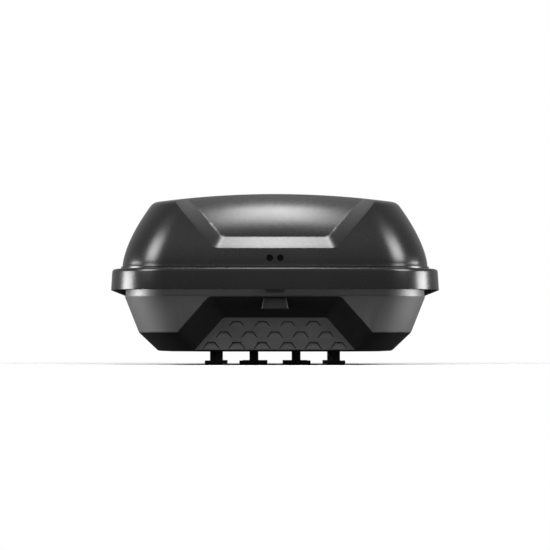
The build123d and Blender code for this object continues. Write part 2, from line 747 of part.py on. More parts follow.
def make_strut_rod(y):
    size = strut()
    _, end = strut_lengths()
    centre = size["shut"] + size["slack"]
    reach = size["slack"] + 0.3
    stroke = size["open"] - size["shut"]
    tail = end - barrel_end - piston_thick - stroke - 4.0
    rod = rod_along("X", (0, 0, 0), strut_rod_dia / 2, tail, centre - eye_radius)
    piston = rod_along("X", (0, 0, 0), barrel_bore / 2 - fit, tail, tail + piston_thick)
    eye = rod_along("Y", (centre - reach, 0, 0), eye_radius, -eye_thick / 2, eye_thick / 2)
    eye += rod_along("Y", (centre + reach, 0, 0), eye_radius, -eye_thick / 2, eye_thick / 2)
    eye += block(centre - reach, centre + reach, -eye_thick / 2, eye_thick / 2, -eye_radius, eye_radius)
    slot = stud_dia / 2 + fit + 0.15
    bore = rod_along("Y", (centre - reach, 0, 0), slot, -eye_thick, eye_thick)
    bore += rod_along("Y", (centre + reach, 0, 0), slot, -eye_thick, eye_thick)
    bore += block(centre - reach, centre + reach, -eye_thick, eye_thick, -slot, slot)
    return along_strut(y, rod + piston + eye - bore)


def make_stud(x, y, z, plate_gap):
    """Headed stud through a strut's eye, standing on a plate plate_gap in front of its middle."""
    plate_y = y + plate_gap
    head_y = y - eye_thick / 2 - seat
    stud = rod_along("Y", (x, 0, z), stud_dia / 2, head_y, plate_y)
    return stud + rod_along("Y", (x, 0, z), stud_head_dia / 2, head_y - stud_head, head_y), plate_y


def make_strut_foot_bracket(y):
    """Gusset from the base's wall and floor to the strut's foot."""
    stud, plate_y = make_stud(strut_foot_x, y, strut_foot_z, barrel_dia / 2 + seat)
    outline = [
        (strut_foot_x + 12, strut_foot_z + 8),
        (strut_foot_x + 4, strut_foot_z + 14),
        (strut_foot_x - 80, strut_foot_z + 50),
        (strut_foot_x - 80, -5),
        (strut_foot_x + 34, -5),
    ]
    plate = prism_y(outline, plate_y, plate_y + bracket_thick) & tub(wall + seat)
    return plate + stud


def make_strut_head_bracket(y):
    """Gusset from the lid's wall and roof to the strut's head."""
    head_x, head_z = strut()["head"]
    stud, plate_y = make_stud(head_x, y, head_z, eye_thick / 2 + seat)
    outline = [
        (head_x + 12, head_z - 8),
        (head_x - 4, head_z - 13),
        (head_x - 110, head_z - 40),
        (head_x - 110, head_z + 160),
        (head_x + 45, head_z + 160),
    ]
    plate = prism_y(outline, plate_y, plate_y + bracket_thick) & lid_cavity(wall + seat)
    return plate + stud


# ---------------------------------------------------------------- roof bows
def make_roof_bow(y):
    """Hat-shaped stiffener that follows the roof from side to side."""

    def band(half, high, low):
        across = block(-bow_half, bow_half, y - half, y + half, rim_top_z, roof_peak_z)
        return (roof(high) & across) - roof(low)

    top = wall + seat
    hat_half = bow_wide / 2 - bow_flange
    skin = band(bow_wide / 2, top, top + bow_wall)
    hollow = band(hat_half - bow_wall, top - 1, top + bow_deep - bow_wall)
    return skin + band(hat_half, top, top + bow_deep) - hollow


# ---------------------------------------------------------------- rails
def rail_rivet_places():
    return [(side * clamp_x, y) for side in (-1, 1) for y in rail_rivet_ys]


def make_rail(x):
    """Flat rail with overhanging edges, which the clamps slide on."""
    foot = block(x - rail_foot_half, x + rail_foot_half, rail_rear, rail_front, wall, rail_lip_z)
    top = block(x - rail_half, x + rail_half, rail_rear, rail_front, rail_lip_z, rail_top_z)
    rail = foot + top
    for rx, ry in rail_rivet_places():
        if rx == x:
            low = rail_top_z - rivet_head - rivet_sink
            sunk = rod_along("Z", (rx, ry, 0), rivet_head_dia / 2 + fit, low, rail_top_z + 1)
            rail -= rivet_hole("Z", (rx, ry, 0), 0, rail_top_z) + sunk
    return rail


def make_rail_rivet(x, y):
    """Rivet with its upper head sunk in the rail and its lower head set up in the floor."""
    top = rail_top_z - rivet_head - rivet_sink
    shank = rod_along("Z", (x, y, 0), rivet_dia / 2, 0.0, top)
    return shank + rod_along("Z", (x, y, 0), rivet_head_dia / 2, top, top + rivet_head)


# ---------------------------------------------------------------- clamps
def make_housing():
    """Moulded cover, open below, with ribs that grip the rail and cheeks for the claw pins."""
    tall = housing_top_z - housing_foot_z
    body = Pos(0, 0, housing_foot_z) * extrude(
        RectangleRounded(2 * housing_half_x, 2 * housing_half_y, housing_corner), tall
    )
    body = fillet(body.edges().group_by(Axis.Z)[-1], housing_round)
    room = (2 * (housing_half_x - housing_wall), 2 * (housing_half_y - housing_wall))
    room = RectangleRounded(*room, housing_corner - housing_wall)
    body -= Pos(0, 0, housing_foot_z - 1) * extrude(room, tall + 1 - housing_wall)
    roof_z = housing_top_z - housing_wall
    rib_x = rail_half + seat
    for side in (-1, 1):
        along = (-rib_half_length, rib_half_length)
        rib = block(side * rib_x, side * (rib_x + rib_wall), *along, wall + seat, roof_z)
        lip_xs = (side * (rail_foot_half + seat), side * (rib_x + 1))
        body += rib + block(*lip_xs, *along, wall + seat, rail_lip_z - seat)
        for end in (-1, 1):
            y0, y1 = sorted((end * (claw_y - 9), end * (housing_half_y - 1)))
            body += block(side * cheek_x, side * (cheek_x + cheek_wall), y0, y1, housing_foot_z, roof_z)
    for end in (-1, 1):
        bore = rod_along("X", (0, end * claw_y, claw_z), claw_pin_dia / 2 + fit, -cheek_x - 10, cheek_x + 10)
        body -= bore
    return body - rod_along("Z", (0, 0, 0), screw_dia / 2 + fit, roof_z - 1, housing_top_z + 1)


def make_screw():
    """Screw with a collar that bears under the housing's top."""
    roof_z = housing_top_z - housing_wall
    shank = rod_along("Z", (0, 0, 0), screw_dia / 2, screw_foot_z, housing_top_z + seat)
    return shank + rod_along("Z", (0, 0, 0), collar_dia / 2, roof_z - seat - collar_thick, roof_z - seat)


def make_knob():
    """Lobed hand wheel with a domed hub."""
    foot = housing_top_z + seat
    body = rod_along("Z", (0, 0, 0), knob_dia / 2, foot, foot + knob_height)
    ring = knob_dia / 2 + knob_scallop_dia / 2 - 6.0
    for index in range(knob_lobes):
        angle = radians(360 / knob_lobes * (index + 0.5))
        at = (ring * cos(angle), ring * sin(angle), 0)
        body -= rod_along("Z", at, knob_scallop_dia / 2, foot + 3, foot + knob_height + 1)
    body = fillet(body.faces().sort_by(Axis.Z)[-1].edges(), knob_grip_round)
    hub = rod_along("Z", (0, 0, 0), 13.0, foot + knob_height - 4, foot + knob_height + 1.2)
    groove = rod_along("Z", (0, 0, 0), 16.0, foot + knob_height - 2.5, foot + knob_height + 2)
    return body - groove + hub


def head_z():
    """Height of the crosshead's groove while the clamp is shut."""
    return claw_z + lever_length * sin(radians(claw_turn / 2))


def make_crosshead():
    """Nut on the screw, with a groove on each side for a lever's end."""
    half = lever_end_dia / 2 + groove_gap
    z = head_z()
    tall = half + head_lip
    body = block(-head_half_x, head_half_x, -head_lip_y, head_lip_y, z - tall, z + tall)
    for end in (-1, 1):
        groove_ys = (end * head_core_y, end * (head_lip_y + 1))
        body -= block(-head_half_x - 1, head_half_x + 1, *groove_ys, z - half, z + half)
    return body - rod_along("Z", (0, 0, 0), screw_dia / 2 + fit, z - tall - 1, z + tall + 1)


def make_claw(inner_side):
    """Front claw: a tube on the pin, a lever to the crosshead and two hooked arms.

    inner_side is -1 or 1: the side of the wider hook, which is nearer the car's middle.
    """
    tube = rod_along("X", (0, claw_y, claw_z), claw_tube_dia / 2, -cheek_x + seat, cheek_x - seat)
    lift = radians(claw_turn / 2)
    end_y, end_z = claw_y - lever_length * cos(lift), claw_z + lever_length * sin(lift)
    lever = Pos(0, claw_y, claw_z) * Rot(-degrees(lift), 0, 0) * block(
        -lever_wide / 2, lever_wide / 2, -lever_length, 0, -lever_thick / 2, lever_thick / 2
    )
    end = rod_along("X", (0, end_y, end_z), lever_end_dia / 2, -lever_wide / 2, lever_wide / 2)
    claw = tube + lever + end
    back_y = arm_face_y + arm_thick
    for side in (-1, 1):
        x = side * arm_offset
        wide = inner_hook_wide if side == inner_side else outer_hook_wide
        arm = [
            (arm_face_y, claw_z - 2),
            (back_y + 8, claw_z - 2),
            (back_y, claw_z - 16),
            (back_y, hook_foot_z + 4),
            (arm_face_y, hook_foot_z + 4),
        ]
        hook = [
            (back_y, hook_top_z + 4),
            (back_y, hook_foot_z + hook_chamfer),
            (back_y - hook_chamfer, hook_foot_z),
            (hook_tip_y + 3, hook_foot_z),
            (hook_tip_y, hook_foot_z + 3),
            (hook_tip_y, hook_top_z),
            (arm_face_y, hook_top_z),
            (arm_face_y, hook_top_z + 4),
        ]
        claw += prism_x(arm, x - arm_wide / 2, x + arm_wide / 2)
        claw += prism_x(hook, x - wide / 2, x + wide / 2)
    return claw - rod_along("X", (0, claw_y, claw_z), claw_pin_dia / 2 + fit, -cheek_x, cheek_x)


def make_claw_pins():
    reach = cheek_x + cheek_wall
    return [rod_along("X", (0, end * claw_y, claw_z), claw_pin_dia / 2, -reach, reach) for end in (-1, 1)]


# ---------------------------------------------------------------- all parts
def build():
    save("base_shell", make_base_shell())
    save("rear_pad", make_rear_pad())
    save("rim_seal", make_rim_seal())
    save("floor_rails", [make_rail(side * clamp_x) for side in (-1, 1)])
    save("rail_rivets", [make_rail_rivet(x, y) for x, y in rail_rivet_places()])

    save("hinge_base_leaves", [make_base_leaf(y) for y in hinge_ys])
    save("hinge_lid_leaves", [make_lid_leaf(y) for y in hinge_ys])
    save("hinge_pins", [make_hinge_pin(y) for y in hinge_ys])
    face_x = -width / 2 + strip_side
    grip = (face_x - leaf_thick, face_x + wall)
    save("hinge_base_rivets", [rivet("X", (0, y, z), *grip) for y, z in base_leaf_rivets()])
    grip = (rim_top_z - flange_thick - leaf_thick, rim_top_z)
    at_x = lid_leaf_rivet_x()
    save("hinge_lid_rivets", [rivet("Z", (at_x, y, 0), *grip) for y in lid_leaf_rivets()])

    save("lid_shell", make_lid_shell())
    save("lid_plugs", make_lid_plugs())
    save("centring_tongue", make_centring_tongue())
    save("roof_bows", [make_roof_bow(y) for y in bow_ys])

    save("lock_cylinder", make_lock_cylinder())
    save("lock_crank", make_lock_crank())
    save("lock_housing", make_lock_housing())
    save("lock_rod", make_lock_rod())
    save("rod_guides", [make_rod_guide(y) for y in guide_ys])
    save("strikers", [make_striker(y) for y in tongue_ys])
    save("striker_rivets", [make_striker_rivet(y) for y in striker_rivets()])

    save("strut_foot_brackets", [make_strut_foot_bracket(y) for y in strut_ys])
    save("strut_head_brackets", [make_strut_head_bracket(y) for y in strut_ys])
    for name, y in zip(("rear", "front"), strut_ys):
        save(f"strut_barrel_{name}", make_strut_barrel(y))
        save(f"strut_rod_{name}", make_strut_rod(y))

    housing, knob, screw, crosshead = make_housing(), make_knob(), make_screw(), make_crosshead()
    pins = make_claw_pins()
    for side_name, side in (("left", -1), ("right", 1)):
        front_claw = make_claw(-side)
        rear_claw = Rot(0, 0, 180) * make_claw(side)
        for end_name, y in zip(("rear", "front"), clamp_ys):
            place = Pos(side * clamp_x, y, 0)
            label = f"{end_name}_{side_name}"
            save(f"clamp_housing_{label}", place * housing)
            save(f"clamp_pins_{label}", [place * pin for pin in pins])
            save(f"clamp_knob_{label}", place * knob)
            save(f"clamp_screw_{label}", place * screw)
            save(f"clamp_crosshead_{label}", place * crosshead)
            save(f"claw_front_{label}", place * front_claw)
            save(f"claw_rear_{label}", place * rear_claw)


os.makedirs("parts", exist_ok=True)
build()
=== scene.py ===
import json
import math
import bpy
from mathutils import Matrix, Vector


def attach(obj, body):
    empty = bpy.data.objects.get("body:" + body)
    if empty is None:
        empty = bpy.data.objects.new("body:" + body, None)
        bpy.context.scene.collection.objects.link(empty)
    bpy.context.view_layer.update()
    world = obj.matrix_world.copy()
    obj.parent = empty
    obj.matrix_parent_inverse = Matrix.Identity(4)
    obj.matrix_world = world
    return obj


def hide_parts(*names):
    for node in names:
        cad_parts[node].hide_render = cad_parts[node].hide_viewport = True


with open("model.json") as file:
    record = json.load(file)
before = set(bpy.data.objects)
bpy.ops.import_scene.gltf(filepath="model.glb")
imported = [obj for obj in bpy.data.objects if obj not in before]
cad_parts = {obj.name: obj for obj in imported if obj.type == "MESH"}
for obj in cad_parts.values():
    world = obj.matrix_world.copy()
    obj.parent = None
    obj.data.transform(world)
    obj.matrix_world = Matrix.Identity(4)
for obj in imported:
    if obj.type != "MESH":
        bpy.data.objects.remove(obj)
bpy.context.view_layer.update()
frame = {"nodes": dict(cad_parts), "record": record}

print("frame loaded,", len(frame["nodes"]), "nodes")

toolSizes = {
    "weld": 0.000005, "seam": 0.00002, "slack": 1e-12, "keenCorner": 0.0001,
    "rodSides": 48, "roundSteps": 5, "roundShare": 0.45,
}


def deselectAll():
    if bpy.context.mode != "OBJECT":
        bpy.ops.object.mode_set(mode="OBJECT")
    bpy.ops.object.select_all(action="DESELECT")


def onlyActive(piece):
    deselectAll()
    piece.select_set(True)
    bpy.context.view_layer.objects.active = piece


def settle(piece):  # place, turn and size go into the mesh, as on the CAD nodes
    onlyActive(piece)
    bpy.ops.object.transform_apply(location=True, rotation=True, scale=True)
    return piece


def applyAll(piece):
    onlyActive(piece)
    for modifier in list(piece.modifiers):
        bpy.ops.object.modifier_apply(modifier=modifier.name)
    return piece


def addModifier(piece, kind, **values):
    modifier = piece.modifiers.new(kind.lower(), kind)
    for key, value in values.items():
        setattr(modifier, key, value)
    return applyAll(piece)


def bevelEdges(piece, width, segments, sharp, wanted):  # rounds the sharp edges whose middle is wanted
    onlyActive(piece)
    bpy.ops.object.mode_set(mode="EDIT")
    bpy.ops.mesh.select_mode(type="EDGE")
    bpy.ops.mesh.select_all(action="DESELECT")
    bpy.ops.mesh.edges_select_sharp(sharpness=math.radians(sharp))
    bpy.ops.object.mode_set(mode="OBJECT")
    points = piece.data.vertices
    for edge in piece.data.edges:
        ends = [points[i].co for i in edge.vertices]
        edge.select = edge.select and wanted((ends[0] + ends[1]) / 2)
    for part in (*points, *piece.data.polygons):
        part.select = False
    bpy.ops.object.mode_set(mode="EDIT")
    bpy.ops.mesh.bevel(offset=width, segments=segments, affect="EDGES")
    bpy.ops.mesh.select_mode(type="VERT")
    bpy.ops.object.mode_set(mode="OBJECT")
    return piece


def tidyMesh(piece):
    onlyActive(piece)
    bpy.ops.object.mode_set(mode="EDIT")
    bpy.ops.mesh.select_all(action="SELECT")
    bpy.ops.mesh.remove_doubles(threshold=toolSizes["weld"])
    bpy.ops.mesh.normals_make_consistent(inside=False)
    bpy.ops.object.mode_set(mode="OBJECT")
    return piece


def smoothShade(piece, degrees):
    onlyActive(piece)
    bpy.ops.object.shade_smooth_by_angle(angle=math.radians(degrees))
    return piece


def joined(name, pieces):
    deselectAll()
    for piece in pieces:
        piece.select_set(True)
    bpy.context.view_layer.objects.active = pieces[0]
    bpy.ops.object.join()
    pieces[0].name = name
    return pieces[0]


def cut(piece, tool, operation="DIFFERENCE"):
    kind = {"operation": operation, "solver": "EXACT", "material_mode": "TRANSFER", "use_self": False}
    addModifier(piece, "BOOLEAN", object=tool, **kind)
    bpy.data.objects.remove(tool, do_unlink=True)
    return piece


def wear(piece, *materials):
    piece.data.materials.clear()
    for material in materials:
        piece.data.materials.append(material)
    return piece


def block(name, low, high):
    deselectAll()
    middle = [(a + b) / 2 for a, b in zip(low, high)]
    bpy.ops.mesh.primitive_cube_add(size=1, location=middle)
    piece = bpy.context.object
    piece.name = name
    piece.scale = [b - a for a, b in zip(low, high)]
    return settle(piece)


def rod(name, axis, centre, radius, start, end, sides=toolSizes["rodSides"]):
    place, turn = list(centre), {"X": (0, math.pi / 2, 0), "Z": (0, 0, 0)}[axis]
    place["XYZ".index(axis)] = (start + end) / 2
    deselectAll()
    form = {"vertices": sides, "radius": radius, "depth": end - start}
    bpy.ops.mesh.primitive_cylinder_add(location=place, rotation=turn, **form)
    piece = bpy.context.object
    piece.name = name
    return settle(piece)


def skin(name, rings, capped=True):  # a grid laid over closed rings, sewn up and capped at both ends
    columns, rows = len(rings[0]), len(rings)
    deselectAll()
    bpy.ops.mesh.primitive_grid_add(x_subdivisions=columns, y_subdivisions=rows - 1, size=1)
    piece = bpy.context.object
    piece.name = name
    for row, ring in enumerate(rings):
        for column in range(columns + 1):
            piece.data.vertices[row * (columns + 1) + column].co = ring[column % columns]
    bpy.ops.object.mode_set(mode="EDIT")
    bpy.ops.mesh.select_all(action="SELECT")
    bpy.ops.mesh.remove_doubles(threshold=toolSizes["seam"])
    if capped:
        bpy.ops.mesh.select_all(action="DESELECT")
        left = ("extend", "use_wire", "use_multi_face", "use_non_contiguous", "use_verts")
        bpy.ops.mesh.select_non_manifold(**dict.fromkeys(left, False))
        bpy.ops.mesh.edge_face_add()
    bpy.ops.mesh.select_all(action="SELECT")
    bpy.ops.mesh.normals_make_consistent(inside=False)
    bpy.ops.object.mode_set(mode="OBJECT")
    return piece


def loop(name, rings):  # like skin, with the last ring joined to the first instead of capped
    return tidyMesh(skin(name, rings + rings[:1], False))


boxPlan = {
    "length": 1.950, "width": 0.892, "corner": 0.150,
    "taperShare": 0.675, "noseShare": 0.64, "noseRound": 0.8, "blendShare": 0.44,
    "lineSteps": (44, 30, 14, 14), "arcSteps": (22, 8, 18),
}


def roundedOutline(corners, radii, arcSteps, lineSteps):
    arcs, count = [], len(corners)
    for i, at in enumerate(corners):
        back = (corners[i - 1] - at).normalized()
        ahead = (corners[(i + 1) % count] - at).normalized()
        turn = math.pi - back.angle(ahead)
        start = at + back * radii[i] * math.tan(turn / 2)
        centre = at + (back + ahead).normalized() * radii[i] / math.cos(turn / 2)
        side = math.copysign(turn, back.cross(ahead))  # which way the corner bends
        turns = [Matrix.Rotation(-side * s / arcSteps[i], 2) for s in range(arcSteps[i] + 1)]
        arcs.append([centre + by @ (start - centre) for by in turns])
    points = []
    for i, arc in enumerate(arcs):
        points += arc
        after = arcs[(i + 1) % count][0]
        points += [arc[-1].lerp(after, s / lineSteps[i]) for s in range(1, lineSteps[i])]
    return points


def planRing(z, side, rear=None, nose=None, corner=None):  # insets from the rim's outline
    plan = boxPlan
    rear = side if rear is None else rear
    nose = side if nose is None else nose
    corner = plan["corner"] - side if corner is None else corner
    half = plan["width"] / 2 - side
    yRear, yNose = rear - plan["length"] / 2, plan["length"] / 2 - nose
    run = yNose - yRear
    noseHalf = plan["noseShare"] * half
    bend = yRear + plan["taperShare"] * run
    right = [Vector((half, yRear)), Vector((half, bend)), Vector((noseHalf, yNose))]
    corners = right + [Vector((-v.x, v.y)) for v in reversed(right)]
    radii = [corner, plan["blendShare"] * run, plan["noseRound"] * noseHalf]
    rearSteps, sideSteps, taperSteps, noseSteps = plan["lineSteps"]
    lineSteps = [sideSteps, taperSteps, noseSteps, taperSteps, sideSteps, rearSteps]
    arcSteps = plan["arcSteps"] + plan["arcSteps"][::-1]
    points = roundedOutline(corners, radii + radii[::-1], arcSteps, lineSteps)
    return [Vector((v.x, v.y, z)) for v in points]


def softened(levels, at, reach, steps):  # rounds the profile at one level (z, side, rear, nose, corner)
    def between(a, b, t):
        return tuple(p + (q - p) * t for p, q in zip(a, b))

    def span(a, b):
        return math.hypot(a[0] - b[0], a[1] - b[1])

    before, here, after = levels[at - 1], levels[at], levels[at + 1]
    most = toolSizes["roundShare"]  # of the way to the next level
    start, end = [between(here, to, min(most, reach / span(here, to))) for to in (before, after)]
    curve = []
    for i in range(steps + 1):
        t = i / steps
        curve.append(between(between(start, here, t), between(here, end, t), t))
    return curve


def profileRings(levels, reaches, steps=toolSizes["roundSteps"]):
    rings = []
    for i, level in enumerate(levels):
        reach = reaches.get(i)
        for row in softened(levels, i, reach, steps) if reach else [level]:
            rings.append(planRing(*row))
    return rings


lidSizes = {
    "footZ": 0.164, "rimTopZ": 0.222, "rimLean": 0.0034, "rimRound": 0.010, "footRound": 0.0018,
    "rimWall": 0.003, "wall": 0.004, "flangeZ": 0.218,
    "beadSide": 0.027, "beadTopZ": 0.229, "beadRound": 0.0028, "domeSide": 0.031,
    "sideLean": 0.075, "rearLean": 0.080, "leanPower": 1.55, "leanHeight": 0.171,
    "noseLean": 0.235, "nosePower": 1.25, "cornerLoss": 0.1,
    "peakZ": 0.448, "peakY": -0.300, "roofRadius": 6.050, "crownRadius": 2.470,
    "shoulder": 0.016, "shoulderLoss": 0.5, "shoulderSteps": 8, "wallSteps": 26, "roofSteps": 26,
    "roofPower": 1.3,  # above 1 it sets the roof's points closer near the shoulder
    "spineY": (-0.45, 0.25), "levels": 60, "levelTopZ": 0.462,
    "footLip": 0.008, "beadFoot": 0.001, "roundSteps": 6, "belowFoot": 0.004, "flangeLean": 0.93,
    "edgeBevel": 0.0015, "edgeSteps": 3, "edgeAngle": 24, "shadeAngle": 32,
}


def roofHeight(x, y, drop=0.0):
    sizes = lidSizes
    crown = sizes["crownRadius"] - drop
    radius = sizes["roofRadius"] - drop - crown + math.sqrt(crown**2 - x**2)
    return sizes["peakZ"] - sizes["roofRadius"] + math.sqrt(radius**2 - (y - sizes["peakY"]) ** 2)


def domeRing(z, grow):
    sizes = lidSizes
    rise = max(0.0, z - sizes["beadTopZ"])
    share = rise / sizes["leanHeight"]
    foot = sizes["domeSide"] + grow
    lean = share ** sizes["leanPower"]
    side, rear = foot + sizes["sideLean"] * lean, foot + sizes["rearLean"] * lean
    nose = foot + sizes["noseLean"] * share ** sizes["nosePower"]
    return planRing(z, side, rear, nose, boxPlan["corner"] - foot - sizes["cornerLoss"] * rise)


def domeColumn(path, grow):  # one line of points up the wall, round the shoulder and in over the roof
    sizes = lidSizes
    over = [p.z - roofHeight(p.x, p.y, grow) for p in path]
    top = next(i for i, gap in enumerate(over) if gap > 0)
    edge = path[top - 1].lerp(path[top], over[top - 1] / (over[top - 1] - over[top]))
    wall = path[:top] + [edge]
    rear, front = sizes["spineY"]
    spine = Vector((0.0, max(rear, min(front, edge.y)), 0.0))
    lengths = [0.0]
    for a, b in zip(wall, wall[1:]):
        lengths.append(lengths[-1] + (b - a).length)

    def onWall(distance):
        limit = distance - toolSizes["slack"]
        i = next(k for k in range(1, len(lengths)) if limit <= lengths[k])
        return wall[i - 1].lerp(wall[i], (distance - lengths[i - 1]) / (lengths[i] - lengths[i - 1]))

    def onRoof(t):
        flat = edge.lerp(spine, t)
        return Vector((flat.x, flat.y, roofHeight(flat.x, flat.y, grow)))

    reach = sizes["shoulder"] - grow * sizes["shoulderLoss"]
    wallEnd = lengths[-1] - reach
    inward = reach / (edge - Vector((0, spine.y, edge.z))).length
    low, high = onWall(wallEnd), onRoof(inward)
    column = [onWall(wallEnd * i / sizes["wallSteps"]) for i in range(sizes["wallSteps"])]
    for i in range(sizes["shoulderSteps"] + 1):
        t = i / sizes["shoulderSteps"]
        column.append(low.lerp(edge, t).lerp(edge.lerp(high, t), t))
    for i in range(1, sizes["roofSteps"] + 1):
        column.append(onRoof(inward + (1 - inward) * (i / sizes["roofSteps"]) ** sizes["roofPower"]))
    return column


def domeRings(grow, startZ):
    levels, topZ = lidSizes["levels"], lidSizes["levelTopZ"]
    stack = [domeRing(startZ + (topZ - startZ) * i / levels, grow) for i in range(levels + 1)]
    columns = [domeColumn([ring[k] for ring in stack], grow) for k in range(len(stack[0]))]
    return [[column[row] for column in columns] for row in range(len(columns[0]))]


def evenInset(z, side):
    return (z, side, side, side, boxPlan["corner"] - side)


def lidOuterSkin():
    sizes = lidSizes
    footZ, rimTopZ, beadTopZ = sizes["footZ"], sizes["rimTopZ"], sizes["beadTopZ"]
    steps = [
        (footZ, sizes["footLip"]), (footZ, 0.0), (rimTopZ, sizes["rimLean"]),
        (rimTopZ, sizes["beadSide"]), (beadTopZ, sizes["beadSide"]), (beadTopZ, sizes["domeSide"]),
    ]
    reaches = {1: sizes["footRound"], 2: sizes["rimRound"], 3: sizes["beadFoot"], 4: sizes["beadRound"]}
    rings = profileRings([evenInset(*step) for step in steps], reaches, sizes["roundSteps"])
    return skin("lidShell", rings[:-1] + domeRings(0.0, beadTopZ))


def lidInnerSkin():
    sizes = lidSizes
    foot = planRing(sizes["footZ"] - sizes["belowFoot"], sizes["rimWall"])
    flange = planRing(sizes["flangeZ"], sizes["rimWall"] + sizes["rimLean"] * sizes["flangeLean"])
    return skin("lidInside", [foot, flange] + domeRings(sizes["wall"], sizes["flangeZ"]))


scoopSizes = {
    # each outline's half width, height, flare and corner
    "outer": (0.166, 0.2755, 0.83, 0.036), "inner": (0.144, 0.308, 0.948, 0.024),
    "arcSteps": (10, 1, 1, 10), "lineSteps": (12, 12, 12, 12),
    "topZ": 0.508, "deepestZ": 0.420, "shares": (-0.5, 0.0, 0.3, 0.6, 0.9, 1.2), "frontY": -0.60,
    "floorY": -0.585, "floorZ": 0.063, "floorRadius": 0.390, "floorSides": 360,
    "floorHalf": 0.33, "floorStep": 0.006, "floorRings": 111,
    "flatBelow": 0.62, "roundAbove": 0.96,  # shares of the radius; the roof's crown comes in between
}


def rearSkinY(z):
    sizes = lidSizes
    rise = min(1.0, max(0.0, (z - sizes["beadTopZ"]) / sizes["leanHeight"]))
    return sizes["domeSide"] - boxPlan["length"] / 2 + sizes["rearLean"] * rise ** sizes["leanPower"]


def scoopFloorY(z):
    sizes = scoopSizes
    rise = min(z, sizes["deepestZ"]) - sizes["floorZ"]
    return sizes["floorY"] - math.sqrt(sizes["floorRadius"] ** 2 - rise**2)


def scoopOutline(name, grow, depth):
    half, low, flare, corner = scoopSizes[name]
    half, low = half + grow * (math.hypot(1, flare) - flare), low - grow
    top = scoopSizes["topZ"]
    wide = half + flare * (top - low)
    corners = [Vector((half, low)), Vector((wide, top)), Vector((-wide, top)), Vector((-half, low))]
    radii = [corner, toolSizes["keenCorner"], toolSizes["keenCorner"], corner]
    points = roundedOutline(corners, radii, scoopSizes["arcSteps"], scoopSizes["lineSteps"])
    return [Vector((v.x, depth(v.y + grow), v.y)) for v in points]


def scoopCutter(grow):
    sizes = scoopSizes
    outer, inner = scoopOutline("outer", grow, rearSkinY), scoopOutline("inner", grow, scoopFloorY)
    rings = [[a + (b - a) * share for a, b in zip(outer, inner)] for share in sizes["shares"]]
    wedge = skin("scoop", rings + [[Vector((p.x, sizes["frontY"], p.z)) for p in rings[-1]]])
    crown = lidSizes["crownRadius"]
    turns = [2 * math.pi * k / sizes["floorSides"] for k in range(sizes["floorSides"])]
    floor = []
    for i in range(sizes["floorRings"]):
        x = sizes["floorStep"] * i - sizes["floorHalf"]
        drop = crown - math.sqrt(crown**2 - x**2)
        ring = []
        for turn in turns:
            share = (math.sin(turn) - sizes["flatBelow"]) / (sizes["roundAbove"] - sizes["flatBelow"])
            radius = sizes["floorRadius"] - grow - drop * min(1.0, max(0.0, share))
            y, z = sizes["floorY"] + radius * math.cos(turn), sizes["floorZ"] + radius * math.sin(turn)
            ring.append(Vector((x, y, z)))
        floor.append(ring)
    return cut(wedge, skin("scoopFloor", floor))


plugSizes = {"x": 0.014, "z": 0.249, "head": (0.0093, -0.002, 0.004), "stem": (0.00405, -0.008, 0.001)}
lockSizes = {"y": -0.225, "z": 0.184, "radius": 0.01255, "start": 0.437, "end": 0.452}


def plugCutters():
    sizes = plugSizes
    rise = (sizes["z"] - lidSizes["beadTopZ"]) / lidSizes["leanHeight"]
    power = lidSizes["leanPower"]
    tilt = math.atan2(lidSizes["rearLean"] * power / lidSizes["leanHeight"] * rise ** (power - 1), 1)
    pieces = []
    for x in (-sizes["x"], sizes["x"]):
        place = Matrix.Translation((x, rearSkinY(sizes["z"]), sizes["z"]))
        place = place @ Matrix.Rotation(math.pi / 2 - tilt, 4, "X")
        for radius, start, end in (sizes["head"], sizes["stem"]):
            piece = rod("plugCut", "Z", (0, 0, 0), radius, start, end)
            piece.data.transform(place)
            pieces.append(piece)
    return pieces


def makeLidShell(outside, inside):
    sizes, lock = lidSizes, lockSizes
    outer = wear(lidOuterSkin(), outside)
    tidyMesh(cut(outer, wear(scoopCutter(0.0), outside)))
    limit = {"limit_method": "ANGLE", "angle_limit": math.radians(sizes["edgeAngle"])}
    addModifier(outer, "BEVEL", width=sizes["edgeBevel"], segments=sizes["edgeSteps"], **limit)
    inner = wear(lidInnerSkin(), inside)
    cut(inner, wear(scoopCutter(sizes["wall"]), inside))
    cut(outer, inner)
    for tool in plugCutters():
        cut(outer, wear(tool, outside))
    at = (0, lock["y"], lock["z"])
    sleeve = rod("sleeveCut", "X", at, lock["radius"], lock["start"], lock["end"])
    cut(outer, wear(sleeve, outside))
    return smoothShade(tidyMesh(outer), sizes["shadeAngle"])


baseSizes = {
    "floor": (0.0, 0.126, 0.114, 0.375, 0.096), "crease": (0.050, 0.075, 0.066, 0.255, 0.104),
    "shoulder": (0.148, 0.037, 0.037, 0.060, 0.113), "stripSide": 0.040, "flangeSide": 0.018,
    "flangeZ": 0.208, "flangeThick": 0.004, "wall": 0.004,
    "floorRound": 0.006, "creaseRound": 0.004, "shoulderRound": 0.0022, "underInset": 0.020,
    "aboveTop": 0.010, "outside": -0.05, "margin": 0.0005, "shadeAngle": 28,
}


def grown(level, grow):
    z, side, rear, nose, corner = level
    return (z, side + grow, rear + grow, nose + grow, corner - grow)


def baseOuterSkin():
    sizes = baseSizes
    top = sizes["flangeZ"] + sizes["flangeThick"]
    foot, shoulder = sizes["floor"], sizes["shoulder"]
    levels = [grown(foot, sizes["underInset"]), foot, sizes["crease"], shoulder]
    levels += [evenInset(z, sizes["stripSide"]) for z in (shoulder[0], sizes["flangeZ"])]
    levels += [evenInset(z, sizes["flangeSide"]) for z in (sizes["flangeZ"], top)]
    reaches = {1: sizes["floorRound"], 2: sizes["creaseRound"], 3: sizes["shoulderRound"]}
    return skin("baseShell", profileRings(levels, reaches))


